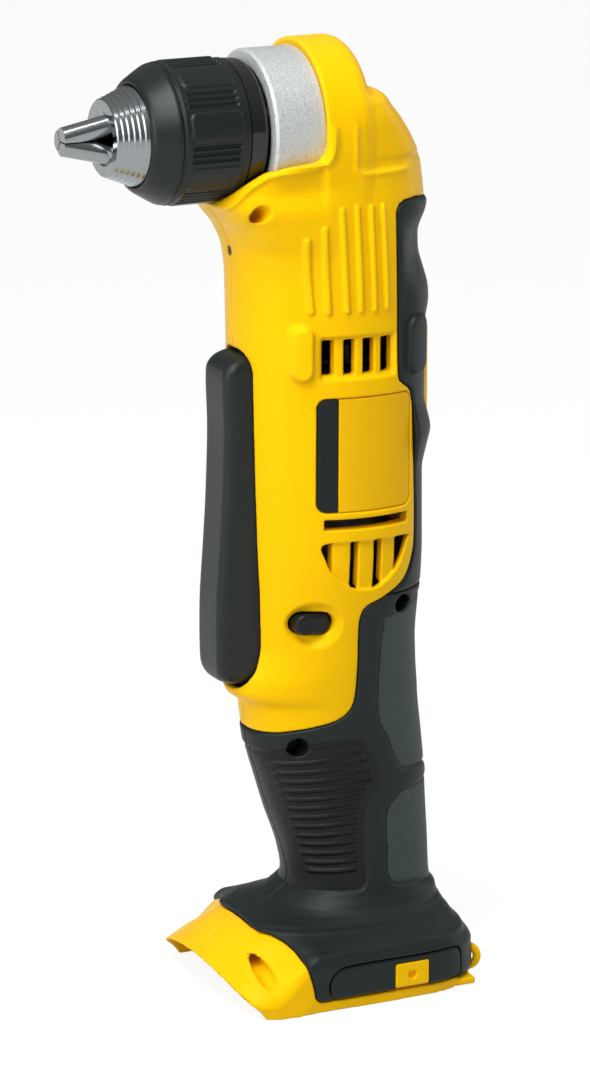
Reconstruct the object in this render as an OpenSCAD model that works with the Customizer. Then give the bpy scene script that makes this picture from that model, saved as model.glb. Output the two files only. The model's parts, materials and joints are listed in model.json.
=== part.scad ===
// Cordless right angle drill: the chuck points along -X, the tool stands on its battery foot at z = 0,
// the motor axis is the Z axis, and the housing splits at the plane y = 0.

/* [Overall] */
// Height of the chuck axis above the foot
chuck_z = 274; // [270:1:280]
// Radius of the round head above the chuck axis
head_r = 26; // [25.6:0.1:27]
// Back face of the round head
head_back = 3; // [2:0.5:5]

/* [Body] */
// Front of the body at the motor
body_front = 33; // [32:0.25:35]
// Back of the body at the motor
body_back = 27.3; // [26.8:0.1:28.5]
// Half width of the body at the motor
body_half_w = 27; // [26.5:0.25:29]
// Wall of the housing
wall = 2.6; // [2.2:0.1:3]
// Front tip of the throat under the chuck
throat_front = 41.6; // [40:0.2:43]

/* [Grip] */
// Half width of the handle
grip_half_w = 19.4; // [18.5:0.1:21]
// Back of the handle
grip_back = 31.7; // [31:0.1:33]
// Thickness of the soft grip
skin = 1.8; // [1.4:0.1:2]
// Height where the grip ends at the front
grip_top = 90; // [87:0.5:92]
// Height where the grip gives way to the back strip
grip_back_top = 129; // [127:0.5:131]

/* [Foot] */
// Half width of the foot
foot_half_w = 36; // [35:0.25:38]
// Back of the foot
foot_back = 41; // [40:0.5:43]
// Front tip of the foot's lip
lip_front = 46.7; // [45:0.5:49]
// Height of the arched lip's lower edge on the centre line
lip_z = 13; // [12:0.25:14]
// Half width of the battery bay
bay_half_w = 32.4; // [31.5:0.1:33]
// Half gap between the battery rails
rail_half_gap = 27; // [25:0.5:28.5]
// Height of the battery rails
rail_h = 4; // [3:0.25:5]
// Back end of the battery bay
bay_back = 34; // [32:0.5:36]

/* [Motor] */
// Radius of the motor can
can_r = 18; // [17.5:0.1:18.4]
// Lower end of the motor can
can_z = 140; // [138:0.5:141]
// Length of the motor can
can_l = 60; // [58:0.5:61]
// Wall of the motor can
can_wall = 1.5; // [1.2:0.1:2]
// Radius of the rotor shaft
shaft_r = 2.5; // [2:0.1:2.8]
// Radius of the rotor core
rotor_r = 11.8; // [11:0.1:12]

/* [Gears] */
// Module of the planetary gears
gear_m = 0.8; // [0.78:0.01:0.82]
// Teeth of the sun and planet gears
sun_teeth = 12; // [12]
// Teeth of the ring gears
ring_teeth = 36; // [36]
// Width of the planet gears
planet_w = 6.4; // [5.6:0.1:6.6]
// Radius of the planet pins
pin_r = 1.5; // [1.2:0.05:1.8]
// Module of the bevel gears at their outer end
bevel_m = 1.25; // [1.2:0.01:1.27]
// Teeth of the bevel pinion
pinion_teeth = 12; // [12]
// Teeth of the bevel gear
wheel_teeth = 21; // [21]
// Face width of the bevel teeth
bevel_face = 5; // [4:0.1:5.4]
// Travel of the speed shift
shift_travel = 4.8; // [3:0.1:4.8]

/* [Gear case] */
// Radius of the collar behind the chuck
collar_r = 23.5; // [23:0.1:24]
// Front of the collar
collar_front = 29.2; // [28.5:0.1:29.6]
// Back of the collar
collar_back = 13.2; // [12:0.1:14]
// Outer radius of the front bearing
bearing_r = 16; // [15.5:0.05:16.4]
// Width of the front bearing
bearing_w = 10; // [9:0.5:10.2]
// Radius of the spindle in the front bearing
spindle_r = 6; // [5.5:0.1:6.4]

/* [Chuck] */
// Largest radius of the chuck sleeve
sleeve_r = 21.9; // [21.4:0.1:22.6]
// Front face of the chuck sleeve
sleeve_front = 66.5; // [65:0.5:68]
// Back face of the chuck sleeve
sleeve_back = 36.4; // [36:0.2:37.5]
// Front rim of the nose cone
nose_front = 75.7; // [75:0.1:77]
// Radius of the nose cone's front rim
nose_r = 11.5; // [11:0.1:12]
// Radius of the nose cone where it meets the sleeve
cone_r = 15.2; // [14.8:0.1:15.6]
// Number of turned steps on the nose cone
cone_steps = 6; // [3:1:8]
// Tip of the closed jaws
jaw_tip = 89.2; // [88:0.2:90]
// Diameter of a jaw
jaw_d = 6.6; // [6:0.1:7]
// Slope of the jaws to the chuck axis
jaw_slope = 15; // [14:0.25:15.5]
// Length of a jaw
jaw_l = 31; // [29:0.5:33]

/* [Trigger] */
// Half width of the paddle
paddle_half_w = 9.4; // [8.5:0.1:10]
// Lower end of the paddle
paddle_low = 100; // [99:0.5:102]
// Upper end of the paddle
paddle_high = 206; // [204:0.5:207]
// Radius of the paddle's pivot pin
pivot_r = 1.5; // [1.2:0.1:2]
// Forward reach of the paddle past the housing front at its lower end
paddle_reach = 11; // [9:0.25:12]

/* [Fits] */
// Running clearance of shafts, pins and jaws in their bores, on the radius
run = 0.05; // [0.03:0.01:0.08]
// Gap between neighbouring pieces that don't touch
gap = 0.3; // [0.2:0.05:0.4]
// Gap between fixed pieces that seat on each other
seat = 0.05; // [0.02:0.01:0.1]
// Radius of the housing screws
screw_r = 1.5; // [1.3:0.05:1.8]

/* [Hidden] */
$fn = 64;
eps = 0.01;
yellow = [1.0, 0.78, 0.0];
charcoal = [0.17, 0.19, 0.2];
steel = [0.72, 0.73, 0.75];
brass = [0.8, 0.65, 0.3];

// Heights of the stack on the motor axis, from the motor up to the bevel pinion
can_top = can_z + can_l;
fan_z = can_top + 1.5;
fan_h = 7;
plate_z = fan_z + fan_h + 1.5;
plate_h = 3.5;
stage_1 = plate_z + plate_h + 2.5;
carrier_1 = stage_1 + planet_w + 1;
carrier_h = 2.8;
stage_2 = carrier_1 + carrier_h + 2.2;
carrier_2 = stage_2 + planet_w + 1;
sleeve_top = carrier_2 + carrier_h + 1.6;
pinion_seat = sleeve_top + 2;
pinion_bearing_h = 7;
bearing_22_r = 11;

// The body as cross sections, from the foot up: [height, front, back, half width,
// squareness of the front and of the back, place of the widest point, bow of the front]
rows = [
    [0, 4.7 - lip_front, foot_back - 0.6, foot_half_w - 0.8, 8, 3.4, 8, 2],
    [2, 3.2 - lip_front, foot_back, foot_half_w, 9, 3.4, 8, 2],
    [lip_z - 6, 1.2 - lip_front, foot_back, foot_half_w, 9, 3.4, 8, 2],
    [lip_z - 3.4, 0.7 - lip_front, foot_back - 0.4, foot_half_w, 5.5, 3.4, 8, 1],
    [lip_z, -lip_front, foot_back - 1.2, foot_half_w, 2.6, 3.4, 8, 0],
    [lip_z + 4, 4.5 - lip_front, foot_back - 4, foot_half_w - 2, 1.9, 3.2, 7, 0],
    [lip_z + 7.5, 6.1 - lip_front, grip_back + 2.9, foot_half_w - 5.8, 1.5, 3, 7, 0],
    [lip_z + 12, 7.8 - lip_front, grip_back + 1.3, grip_half_w + 5.6, 1.2, 2.6, 7, 0],
    [lip_z + 13.8, 10.7 - lip_front, grip_back + 0.9, grip_half_w + 3.8, 1.2, 2.5, 7, 0],
    [lip_z + 14.8, -22, grip_back + 0.7, grip_half_w + 3, 1.5, 2.4, 7, 0],
    [30, -16.4, grip_back + 0.5, grip_half_w + 1.4, 2.2, 2.4, 7, 0],
    [34, -15.2, grip_back + 0.3, grip_half_w + 0.4, 2.3, 2.4, 7, 0],
    [42, -16.7, grip_back, grip_half_w, 2.3, 2.4, 7, 0],
    [56, -21.6, grip_back - 0.8, grip_half_w + 0.1, 2.3, 2.4, 5, 0],
    [67, -25, grip_back - 1.3, grip_half_w + 0.2, 2.3, 2.4, 3, 0],
    [78, -28.3, grip_back - 2.4, grip_half_w + 0.4, 2.2, 2.4, 2, 0],
    [grip_top, -30.2, grip_back - 3.9, grip_half_w + 1, 2.1, 2.4, 1, 0],
    [112, 2 - body_front, body_back - 1.3, body_half_w - 4, 2, 2.4, 0, 0],
    [126, 1.8 - body_front, body_back - 0.7, body_half_w - 2, 2, 2.4, 0, 0],
    [145, 1.2 - body_front, body_back, body_half_w - 0.2, 2, 2.4, 0, 0],
    [170, 0.4 - body_front, body_back, body_half_w, 2, 2.4, 0, 0],
    [210, -body_front - 0.5, body_back, body_half_w, 2, 2.4, 0, 0],
    [228, -body_front - 0.9, body_back, body_half_w, 2, 2.4, 0, 0],
    [chuck_z - 38, -body_front - 1.3, body_back, body_half_w - 0.2, 2.2, 2.4, 0, 0],
    [chuck_z - 29, 4.7 - throat_front, body_back, body_half_w - 0.6, 3, 2.4, 0, 0],
    [chuck_z - 21.5, -throat_front, body_back - 0.1, body_half_w - 1, 3.6, 2.4, 0, 0],
    [chuck_z - 16, 1.6 - throat_front, body_back - 0.7, body_half_w - 1.4, 4, 2.4, 0, 0],
    [chuck_z - 12, 5.6 - throat_front, body_back - 1.3, body_half_w - 1.6, 4.5, 2.4, 0, 0],
    [chuck_z - 9.5, 11.6 - throat_front, body_back - 2.3, body_half_w - 1.8, 5, 2.4, 0, 0],
    [chuck_z - 8, -collar_back - 0.2, body_back - 2.9, body_half_w - 2.2, 5, 2.4, 0, 0],
    [chuck_z - 4, -collar_back - 0.2, body_back - 4.4, body_half_w - 3.2, 4, 2.4, 0, 0],
    [chuck_z + 2, -collar_back - 0.2, body_back - 7.9, body_half_w - 4, 4, 2.4, 0, 0],
    [chuck_z + 10.5, -collar_back - 0.2, body_back - 13.5, body_half_w - 7, 4, 2.4, 0, 0]
];
foot_slices = [0, 2, lip_z - 6, lip_z - 3.4, lip_z, lip_z + 2, lip_z + 4, lip_z + 7.5, lip_z + 10, lip_z
    + 12,
    lip_z + 13.8, lip_z + 14.4, 28.4, 30, 34];
handle_slices = [39, 46, 56, 67, 78, 85];
body_slices = [grip_top, 101, 112, 126, 145, 170, 210, 228];
head_slices = [for (d = [-38, -33.5, -29, -25, -21.5, -18.5, -16, -14, -12, -10.7, -9.5, -8.7, -8, -4, -1,
    2, 6, 10.5]) chuck_z + d];
slices = concat(foot_slices, handle_slices, body_slices, head_slices);

// A smooth curve through one column of the rows that never overshoots
function chord(c, i) = (rows[i + 1][c] - rows[i][c]) / (rows[i + 1][0] - rows[i][0]);
function tangent(c, i) = i == 0 || i == len(rows) - 1 ? 0
    : let (a = chord(c, i - 1), b = chord(c, i)) a * b <= 0 ? 0 : 2 * a * b / (a + b);
function row_below(z, i = 0) = i >= len(rows) - 2 || z < rows[i + 1][0] ? i : row_below(z, i + 1);
function along(c, z) = let (i = row_below(z), h = rows[i + 1][0] - rows[i][0],
    u = min(1, max(0, (z - rows[i][0]) / h)), a = rows[i][c], b = rows[i + 1][c])
    a + (b - a) * u * u * (3 - 2 * u)
      + h * u * (1 - u) * ((1 - u) * tangent(c, i) - u * tangent(c, i + 1));

// A point of the left outline at height z, from the front at t = 0 to the back at t = 180,
// moved in by [front, back, side]
function outline(z, t, in) = let (
    widest = along(6, z), c = cos(t), s = sin(t), n = c > 0 ? along(4, z) : along(5, z),
    reach = c > 0 ? widest - along(1, z) - in[0] : along(2, z) - in[1] - widest,
    cx = sign(c) * pow(abs(c), 2 / n), sy = pow(abs(s), 2 / n),
    bow = c > 0 ? along(7, z) * sy * sy * cx : 0)
    [widest - reach * cx + bow, -(along(3, z) - in[2]) * sy, z];
function even(d) = [d, d, d];
// The angle of the outline's point at height z that has a given x
function angle_at(z, x) = let (widest = along(6, z))
    x < widest ? acos(min(1, pow((widest - x) / (widest - along(1, z)), along(4, z) / 2)))
    : 180 - acos(min(1, pow((x - widest) / (along(2, z) - widest), along(5, z) / 2)));

// Faces of a grid of quads, na points by nb points, with its points from index s on
function grid_faces(na, nb, s, flip) = [for (i = [0:na - 2]) for (j = [0:nb - 2])
    let (a = s + i * nb + j, b = a + nb, c = b + 1, d = a + 1)
    each flip ? [[a, c, b], [a, d, c]] : [[a, b, c], [a, c, d]]];

// A closed skin on the left outline, between heights and between two angles that follow the height.
// lead adds one more column of points before the first angle
module skin_on(zs, from, to, nt, out, in, lead = undef) {
    led = is_undef(lead) ? 0 : 1;
    nb = nt + 1 + led;
    na = len(zs);
    m = na * nb;
    points = [for (d = [out, in]) for (z = zs) for (j = [-led:nt])
        outline(z, j < 0 ? lead(z) : from(z) + (to(z) - from(z)) * j / nt, d)];
    top = m - nb;
    faces = concat(
        grid_faces(na, nb, 0, false),
        grid_faces(na, nb, m, true),
        [for (j = [0:nb - 2]) each [[j, j + 1, m + j + 1], [j, m + j + 1, m + j]]],
        [for (j = [0:nb - 2]) each [[top + j + 1, top + j, m + top + j],
            [top + j + 1, m + top + j, m + top + j + 1]]],
        [for (i = [0:na - 2]) let (a = i * nb, b = a + nb) each [[b, a, m + a], [b, m + a, m + b]]],
        [for (i = [0:na - 2]) let (a = i * nb + nb - 1, b = a + nb) each [[a, b, m + b], [a, m + b, m
            + a]]]);
    polyhedron(points, faces);
}

// The left half of the body as one solid, moved in by a function of the height
module solid_on(zs, nt, in) {
    nb = nt + 1;
    na = len(zs);
    points = [for (z = zs) for (j = [0:nt]) outline(z, 180 * j / nt, in(z))];
    faces = concat(
        grid_faces(na, nb, 0, false),
        [[for (j = [0:nt]) j], [for (j = [nt:-1:0]) (na - 1) * nb + j]],
        [concat([for (i = [na - 1:-1:0]) i * nb], [for (i = [0:na - 1]) i * nb + nt])]);
    polyhedron(points, faces);
}

module along_x(x) { translate([x, 0, chuck_z]) rotate([0, -90, 0]) children(); }
module tube(r_out, r_in, h) {
    difference() {
        cylinder(r = r_out, h = h);
        translate([0, 0, -1]) cylinder(r = r_in, h = h + 2);
    }
}
module both_sides() { children(); mirror([0, 1, 0]) children(); }
module pill(length, width, h) {
    hull_r = width / 2;
    linear_extrude(h) union() {
        square([length - width, width], center = true);
        for (s = [-1, 1]) translate([s * (length / 2 - hull_r), 0]) circle(hull_r);
    }
}

// Involute gears
function polar(r, a) = [r * cos(a), r * sin(a)];
function involute(r, base) = let (a = acos(min(1, base / r))) tan(a) * 180 / PI - a;
function half_tooth(z, m, r, slack) = let (pitch = m * z / 2, base = pitch * cos(20))
    90 / z + involute(pitch, base) - involute(max(r, base), base) - slack;
function tooth_side(z, m, root, tip, slack) = let (low = max(root, m * z / 2 * cos(20)))
    concat(root < low - eps ? [[root, half_tooth(z, m, low, slack)]] : [],
        [for (u = [0, 0.5, 1]) let (r = low + (tip - low) * u) [r, half_tooth(z, m, r, slack)]]);
function gear_points(z, m, root, tip, slack) = [for (k = [0:z - 1])
    let (side = tooth_side(z, m, root, tip, slack), n = len(side), a = 360 * k / z)
    each concat([for (i = [0:n - 1]) polar(side[i][0], a - side[i][1])],
        [for (i = [n - 1:-1:0]) polar(side[i][0], a + side[i][1])])];
sun_pitch = gear_m * sun_teeth / 2;
sun_tip = sun_pitch + 0.85 * gear_m;
sun_root = sun_pitch - 1.15 * gear_m;
ring_pitch = gear_m * ring_teeth / 2;
ring_tip = ring_pitch - 0.55 * gear_m;
ring_root = ring_pitch + 1.15 * gear_m;
ring_r = ring_root + 2.6;
orbit = 2 * sun_pitch;
tooth_slack = 0.7;
sleeve_r_in = ring_r + seat;
sleeve_r_out = sleeve_r_in + 2;
module spur(h) { linear_extrude(h) polygon(gear_points(sun_teeth, gear_m, sun_root, sun_tip,
    tooth_slack)); }
module planet(z, i) {
    rotate(120 * (i - 1)) translate([orbit, 0, z]) difference() {
        rotate(15 - 120 * (i - 1)) spur(planet_w);
        translate([0, 0, -1]) cylinder(r = pin_r + run, h = planet_w + 2);
    }
}
module toothed_ring(h) {
    difference() {
        cylinder(r = ring_r, h = h);
        translate([0, 0, -1]) rotate(180 / ring_teeth) linear_extrude(h + 2)
            polygon(gear_points(ring_teeth, gear_m, ring_tip, ring_root, -tooth_slack / 3));
    }
}
module planet_carrier(z, pins_to) {
    translate([0, 0, z]) cylinder(r = orbit + pin_r + 2, h = carrier_h);
    for (i = [0:2]) rotate(120 * i) translate([orbit, 0, pins_to]) cylinder(r = pin_r, h = z - pins_to + 1);
}

// Straight bevel gears whose teeth run to the point where the two axes cross
pinion_cone = atan(pinion_teeth / wheel_teeth);
cone_length = bevel_m * sqrt(pow(pinion_teeth, 2) + pow(wheel_teeth, 2)) / 2;
bevel_slack = 0.9;
module bevel(z, cone, slack) {
    back_r = cone_length * tan(cone);
    virtual = z / cos(cone);
    side = tooth_side(virtual, 2 * back_r / virtual, back_r - 1.1 * bevel_m, back_r + 0.8 * bevel_m, slack);
    n = len(side);
    tooth = concat([for (i = [0:n - 1]) [side[i][0], -side[i][1]]],
        [for (i = [n - 1:-1:0]) [side[i][0], side[i][1]]]);
    ring = [for (k = [0:z - 1]) for (p = tooth)
        let (a = 360 * k / z + p[1] / cos(cone), r = p[0] * cos(cone),
            h = cone_length / cos(cone) - p[0] * sin(cone)) [r * cos(a), r * sin(a), h]];
    count = len(ring);
    small = 1 - bevel_face / cone_length;
    points = concat(ring, [for (p = ring) p * small],
        [[0, 0, cone_length * cos(cone)], [0, 0, cone_length * cos(cone) * small]]);
    faces = [for (i = [0:count - 1]) let (j = (i + 1) % count) each [
        [count + j, count + i, i], [j, count + j, i],
        [i, 2 * count, j], [count + j, 2 * count + 1, count + i]]];
    polyhedron(points, faces);
}
pinion_big_z = chuck_z - bevel_m * wheel_teeth / 2;
wheel_big_x = bevel_m * pinion_teeth / 2;

// Soft grip and back strip: where their front edges run, as [height, x]
strip_skin = 2.4;
strip_wall = 2.2;
strip_low = grip_back_top + gap;
strip_top = chuck_z - 27;
foot_edge = [[3.4, -19], [10, -22.5], [18, -26.5], [23, -31], [25.5, -36], [27, -60]];
grip_edge = [[grip_top - 1, -31], [grip_top, -19], [grip_top + 1.5, -9], [grip_top + 5, -4.4],
    [grip_top + 10, -2.6], [120, -2], [126, 0], [grip_back_top, 5]];
strip_edge = [[strip_low, 5.6], [133, 12.5], [138, 16], [148, 17.4], [192, 15.6], [198, 10.2], [strip_top,
    9.4]];
function grip_x(z) = z < 40 ? lookup(z, foot_edge) : z < grip_top - 1 ? -60 : lookup(z, grip_edge);
function grip_from(z) = angle_at(z, grip_x(z));
function grip_cut_from(z) = angle_at(z, grip_x(z) - gap);
function strip_from(z) = angle_at(z, lookup(z, strip_edge));
function strip_cut_from(z) = angle_at(z, lookup(z, strip_edge) - gap);
to_seam = function(z) 180;
grip_slices = concat([3.4, lip_z - 6, lip_z - 3.4, lip_z], [for (z = foot_slices) if (z > lip_z) z],
    handle_slices,
    [for (d = [-1, -0.5, 0, 0.7, 1.5, 3, 5, 10]) grip_top + d], [112, 120, 126, grip_back_top]);
strip_slices = [strip_low, 131, 133, 135, 138, 142, 148, 160, 180, 192, 194, 196, 198, 210, 225, 236,
    strip_top];
grip_cut_slices = concat([3.4 - gap], [for (i = [1:len(grip_slices) - 2]) grip_slices[i]], [grip_back_top
    + gap / 2]);
strip_cut_slices = concat([strip_low - gap / 2], [for (i = [1:len(strip_slices) - 2]) strip_slices[i]],
    [strip_top + gap]);
cut_out = even(-4);

// The space inside the housing
function inside(z) = let (side = lookup(z, [[grip_top, skin + wall], [grip_back_top + 6, wall]]))
    [side, lookup(z, [[grip_top, skin + wall], [grip_back_top, strip_skin + strip_wall]]), side];
cavity_low = lip_z + 5;
cavity_slices = concat([cavity_low, 24, 30, 38, 46, 56, 67, 78], body_slices,
    [for (d = [-38, -29, -21.5]) chuck_z + d]);

// Screws of the housing: [x, z, depth of the seat under the head from the seam]
screws = [[-35, chuck_z - 26, 6], [14, grip_back_top - 4, 10], [-18.3, grip_top - 9.4, 5], [-35.5, lip_z
    + 3.4, 6]];
screw_head_r = 2 * screw_r;
screw_head_h = 2.4;
screw_end = 9;
boss_r = screw_r + 2.2;

// The trigger, its pivot, the switch behind it and the buttons
pivot_x = -26.4;
pivot_z = paddle_high - 8;
slot_w = paddle_half_w + gap;
slot_depth = 19.5;
slot_spare = 1.4;
switch_z = 97;
switch_h = 20;
switch_front = -15.5;
switch_back = 16;
switch_half_w = 10.5;
shelf_h = 2.4;
plunger_z = switch_z + 14;
plunger_h = 7;
plunger_half_w = 4;
button_x = -16.2;
button_z = 122;
button_l = 15;
button_h = 7.6;
button_reach = 21;
lever_x = -5;
lever_z = switch_z + switch_h + 0.2;
lever_h = 2.2;
peg_r = 1.6;
led_z = chuck_z - 37.5;
led_r = 1.5;
led_body_r = 2.5;
led_body_x = body_front - 6.5;
led_body_l = 4.4;
selector_z = 186;
selector_h = 26;
selector_half_w = 6.5;
selector_proud = 1.3;
stem_z = 195;
stem_h = 10;
stem_half_w = 3.8;
link_x = sleeve_r_out + 0.4;
link_t = 1.3;
link_half_w = 4.6;

// Openings in the sides of the body
vent_w = 3;
vent_pitch = 6.15;
vent_first = -12;
vent_z = 198.2;
vent_h = 10.4;
slot_z = 151.4;
slot_h = 3.2;
slot_l = 28.4;
grille_z = 131;
grille_h = 15;
plate_x = 16;
plate_back = 13.2;
plate_low = 157;
plate_high = 193;
pad_low = 3.9;
pad_high = 14.6;
pad_front = -17;
pad_back = 30;
clip_x = 6;
clip_w = 11;
clip_h = 8;

module along_y(x, z) { translate([x, 0, z]) rotate([90, 0, 0]) children(); }
module box(from, to) { translate(from) cube(to - from); }

// The shell is made as one mesh
module one_mesh() { resize([0, 0, 0]) children(); }

// Six raised ribs on each side of the head: [x at the top, height of the top]
rib_low = 219;
rib_half_w = 0.9;
rib_lean = 1.6;
ribs = [[-19.3, chuck_z - 32], [-13.7, chuck_z - 29], [-8, chuck_z - 23.5], [-3, chuck_z - 23], [1.7,
    chuck_z - 23],
    [6, chuck_z - 23]];
function rib_x(rib, z) = rib[0] + rib_lean * (rib[1] - z) / (rib[1] - rib_low);
module head_ribs() {
    for (rib = ribs) skin_on([rib_low, 228, 236, rib[1]], function(z) angle_at(z, rib_x(rib, z)
        - rib_half_w),
        function(z) angle_at(z, rib_x(rib, z) + rib_half_w), 1, even(-0.7), even(0.8));
}

module vent_slots() {
    for (i = [0:3]) box([vent_first + i * vent_pitch - vent_w / 2, -40, vent_z],
        [vent_first + i * vent_pitch + vent_w / 2, 0, vent_z + vent_h]);
    box([-slot_l / 2, -40, slot_z], [slot_l / 2, 0, slot_z + slot_h]);
    for (bar = [[-13, 3.2, 6], [-5, 3.6, 0.6], [3.4, 4.2, 0], [11, 3.6, 5.6]])
        box([bar[0], -40, grille_z + bar[2]], [bar[0] + bar[1], 0, grille_z + grille_h]);
}

// The round head runs straight down into the body, and its sides are set back behind the drum
head_edge = 1.4;
recess_x = -3.5;
recess_half_w = 23.2;
recess_z = chuck_z - 12.5;
module half_solid() {
    difference() {
        union() {
            solid_on(slices, 16, function(z) even(0));
            intersection() {
                union() {
                    along_x(head_back) {
                        cylinder(r1 = head_r - head_edge, r2 = head_r, h = head_edge);
                        translate([0, 0, head_edge])
                            cylinder(r = head_r, h = head_back + collar_back - head_edge);
                    }
                    box([-collar_back, -head_r + gap, chuck_z - 20], [head_back - head_edge, 0, chuck_z]);
                }
                box([-40, -60, chuck_z - 20], [40, 0, chuck_z + 60]);
            }
        }
        box([recess_x, -60, recess_z], [60, -recess_half_w, chuck_z + 60]);
    }
}

// What the gear case and the gearbox sleeve need inside the housing
case_back = 8.5;
case_boss_r = 8;
case_wall_x = 0.8;
case_rear_r = 19.3;
case_mid_r = head_r - 3.4;
case_step = 5.4;
neck_top = chuck_z - 6;
module head_bores() {
    $fn = 48;
    along_x(-collar_back) cylinder(r = collar_r + gap, h = collar_front - collar_back);
    along_x(-collar_back) cylinder(r = sleeve_r + 2 * gap, h = 60);
    along_x(gap - case_step) cylinder(r = case_mid_r + gap, h = collar_back);
    along_x(case_wall_x + gap) cylinder(r = case_rear_r + gap, h = case_step + collar_back);
    along_x(case_back + gap) cylinder(r = case_boss_r + gap, h = case_back + collar_back);
    translate([0, 0, sleeve_top - 10]) cylinder(r = sleeve_r_out + gap, h = neck_top + gap - sleeve_top
        + 10);
}

// The bay that the battery slides into from the front, under an arched roof
module battery_bay() {
    arch_r = (pow(bay_half_w, 2) + pow(lip_z, 2)) / (2 * lip_z);
    intersection() {
        translate([-60, 0, lip_z - arch_r]) rotate([0, 90, 0]) cylinder(r = arch_r, h = 60 + bay_back,
            $fn = 80);
        box([-70, -bay_half_w, -1], [60, bay_half_w, 40]);
    }
}
rail_front = 26;
module battery_rail() {
    box([-rail_front, -bay_half_w - 1, 0.6], [bay_back + 1, -rail_half_gap, 0.6 + rail_h / 2]);
}

// A rib across the left half that holds a round piece on the motor axis
module cradle(z, h, r) {
    difference() {
        translate([0, 0, z]) linear_extrude(h)
            polygon([for (j = [0:18]) let (p = outline(z, 10 * j, inside(z) - even(0.8))) [p[0], p[1]]]);
        translate([0, 0, z - 1]) cylinder(r = r, h = h + 2);
    }
}
cradle_h = 2.5;
module cradles() {
    for (z = [can_z + 8, can_top - 14]) cradle(z, cradle_h, can_r + seat);
    cradle(sleeve_top - 7, cradle_h, sleeve_r_out + seat);
    cradle(switch_z - shelf_h - seat, shelf_h, 7);
}
module pivot_boss() {
    difference() {
        along_y(pivot_x, pivot_z) cylinder(r = pivot_r + 2.2, h = 20);
        box([-60, -slot_w, 0], [0, 0, 300]);
    }
}
module trigger_slot() {
    box([-60, -slot_w, paddle_low - slot_spare], [-slot_depth, 1, paddle_high + gap]);
}
module shift_slot() {
    box([sleeve_r_out - 1, -link_half_w - gap, selector_z - shift_travel - 2],
        [link_x + link_t + gap, 1, sleeve_top - 1]);
    box([link_x, -stem_half_w - gap, stem_z - shift_travel - gap], [60, 1, stem_z + stem_h + gap]);
}
pin_reach = slot_w + 5;
block_front = -6;
block_back = 24;
block_half_w = 13;

module half_shell() {
    difference() {
        union() {
            difference() {
                half_solid();
                translate([0, 0.2, 0]) solid_on(cavity_slices, 10, function(z) inside(z));
                battery_bay();
            }
            cradles();
            head_ribs();
            intersection() {
                half_solid();
                union() {
                    for (s = screws) along_y(s[0], s[1]) cylinder(r = boss_r, h = 40, $fn = 24);
                    pivot_boss();
                    battery_rail();
                }
            }
        }
        skin_on(grip_cut_slices, function(z) grip_from(z), to_seam, 10, cut_out, even(skin + seat),
            function(z) grip_cut_from(z));
        skin_on(strip_cut_slices, function(z) strip_from(z), to_seam, 8, cut_out, even(strip_skin + seat),
            function(z) strip_cut_from(z));
        skin_on([plate_low - gap, plate_high + gap], function(z) angle_at(z, -plate_x - gap),
            function(z) angle_at(z, plate_back + gap), 10, cut_out, even(1 + seat));
        head_bores();
        trigger_slot();
        shift_slot();
        vent_slots();
        along_y(pivot_x, pivot_z) cylinder(r = pivot_r + seat, h = pin_reach + gap, $fn = 32);
        translate([0, 0, led_z]) rotate([0, -90, 0]) {
            cylinder(r = led_r + seat, h = 60, $fn = 24);
            translate([0, 0, led_body_x - seat]) cylinder(r = led_body_r + seat, h = led_body_l + 2 * seat);
        }
        along_y(button_x, button_z) translate([0, 0, 10]) pill(button_l + 2 * gap, button_h + 2 * gap, 30);
        box([block_front - gap, -block_half_w - gap, 2], [block_back + gap, 1, cavity_low + 1]);
    }
}

// Housing, grip and what is fixed to them
module screw_holes(side) {
    for (s = screws) along_y(s[0], s[1]) {
        translate([0, 0, -1])
            cylinder(r = screw_r + seat, h = 1 + (side < 0 ? s[2] + 1 : screw_end + gap), $fn = 24);
        if (side < 0) translate([0, 0, s[2]]) cylinder(r = screw_head_r + gap, h = 40, $fn = 24);
    }
}
loop_r = 3.4;
loop_wire = 1.3;
module hang_loop(wire) {
    translate([foot_back - 4.2, 12 - foot_half_w, 6.4]) rotate([0, 0, -27]) rotate([90, 0, 0]) rotate([0,
        0, -90])
        rotate_extrude(angle = 180, $fn = 24) translate([loop_r, 0]) circle(wire, $fn = 14);
}
module housing_left() {
    color(yellow) one_mesh() {
        difference() {
            half_shell();
            screw_holes(-1);
        }
        hang_loop(loop_wire);
    }
}
module housing_right() {
    color(yellow) one_mesh() mirror([0, 1, 0]) difference() {
        half_shell();
        screw_holes(1);
    }
}

module half_grip(side) {
    difference() {
        skin_on(grip_slices, function(z) grip_from(z), to_seam, 10, even(0), even(skin));
        skin_on([pad_low - gap, 8, 11, pad_high + gap], function(z) angle_at(z, pad_front - gap),
            function(z) angle_at(z, pad_back + gap), 12, cut_out, even(1 + seat));
        if (side < 0) {
            for (s = screws) along_y(s[0], s[1]) cylinder(r = screw_head_r + gap, h = 60, $fn = 24);
            hang_loop(loop_wire + gap);
        }
    }
}
module grip_left() { color(charcoal) one_mesh() half_grip(-1); }
module grip_right() { color(charcoal) one_mesh() mirror([0, 1, 0]) half_grip(1); }
module back_strip() {
    color(charcoal) one_mesh() difference() {
        both_sides() translate([0, eps, 0])
            skin_on(strip_slices, function(z) strip_from(z), to_seam, 8, even(0), even(strip_skin));
        both_sides() shift_slot();
        both_sides() selector_seat();
    }
}
module selector_seat() {
    box([body_back - 0.8, -selector_half_w - gap, selector_z - shift_travel - gap],
        [60, 1, selector_z + selector_h + gap]);
}
module nameplates() {
    color(yellow) both_sides() one_mesh()
        skin_on([plate_low, plate_high], function(z) angle_at(z, -plate_x), function(z) angle_at(z,
            plate_back),
            10, even(0.2), even(1));
}
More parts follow.
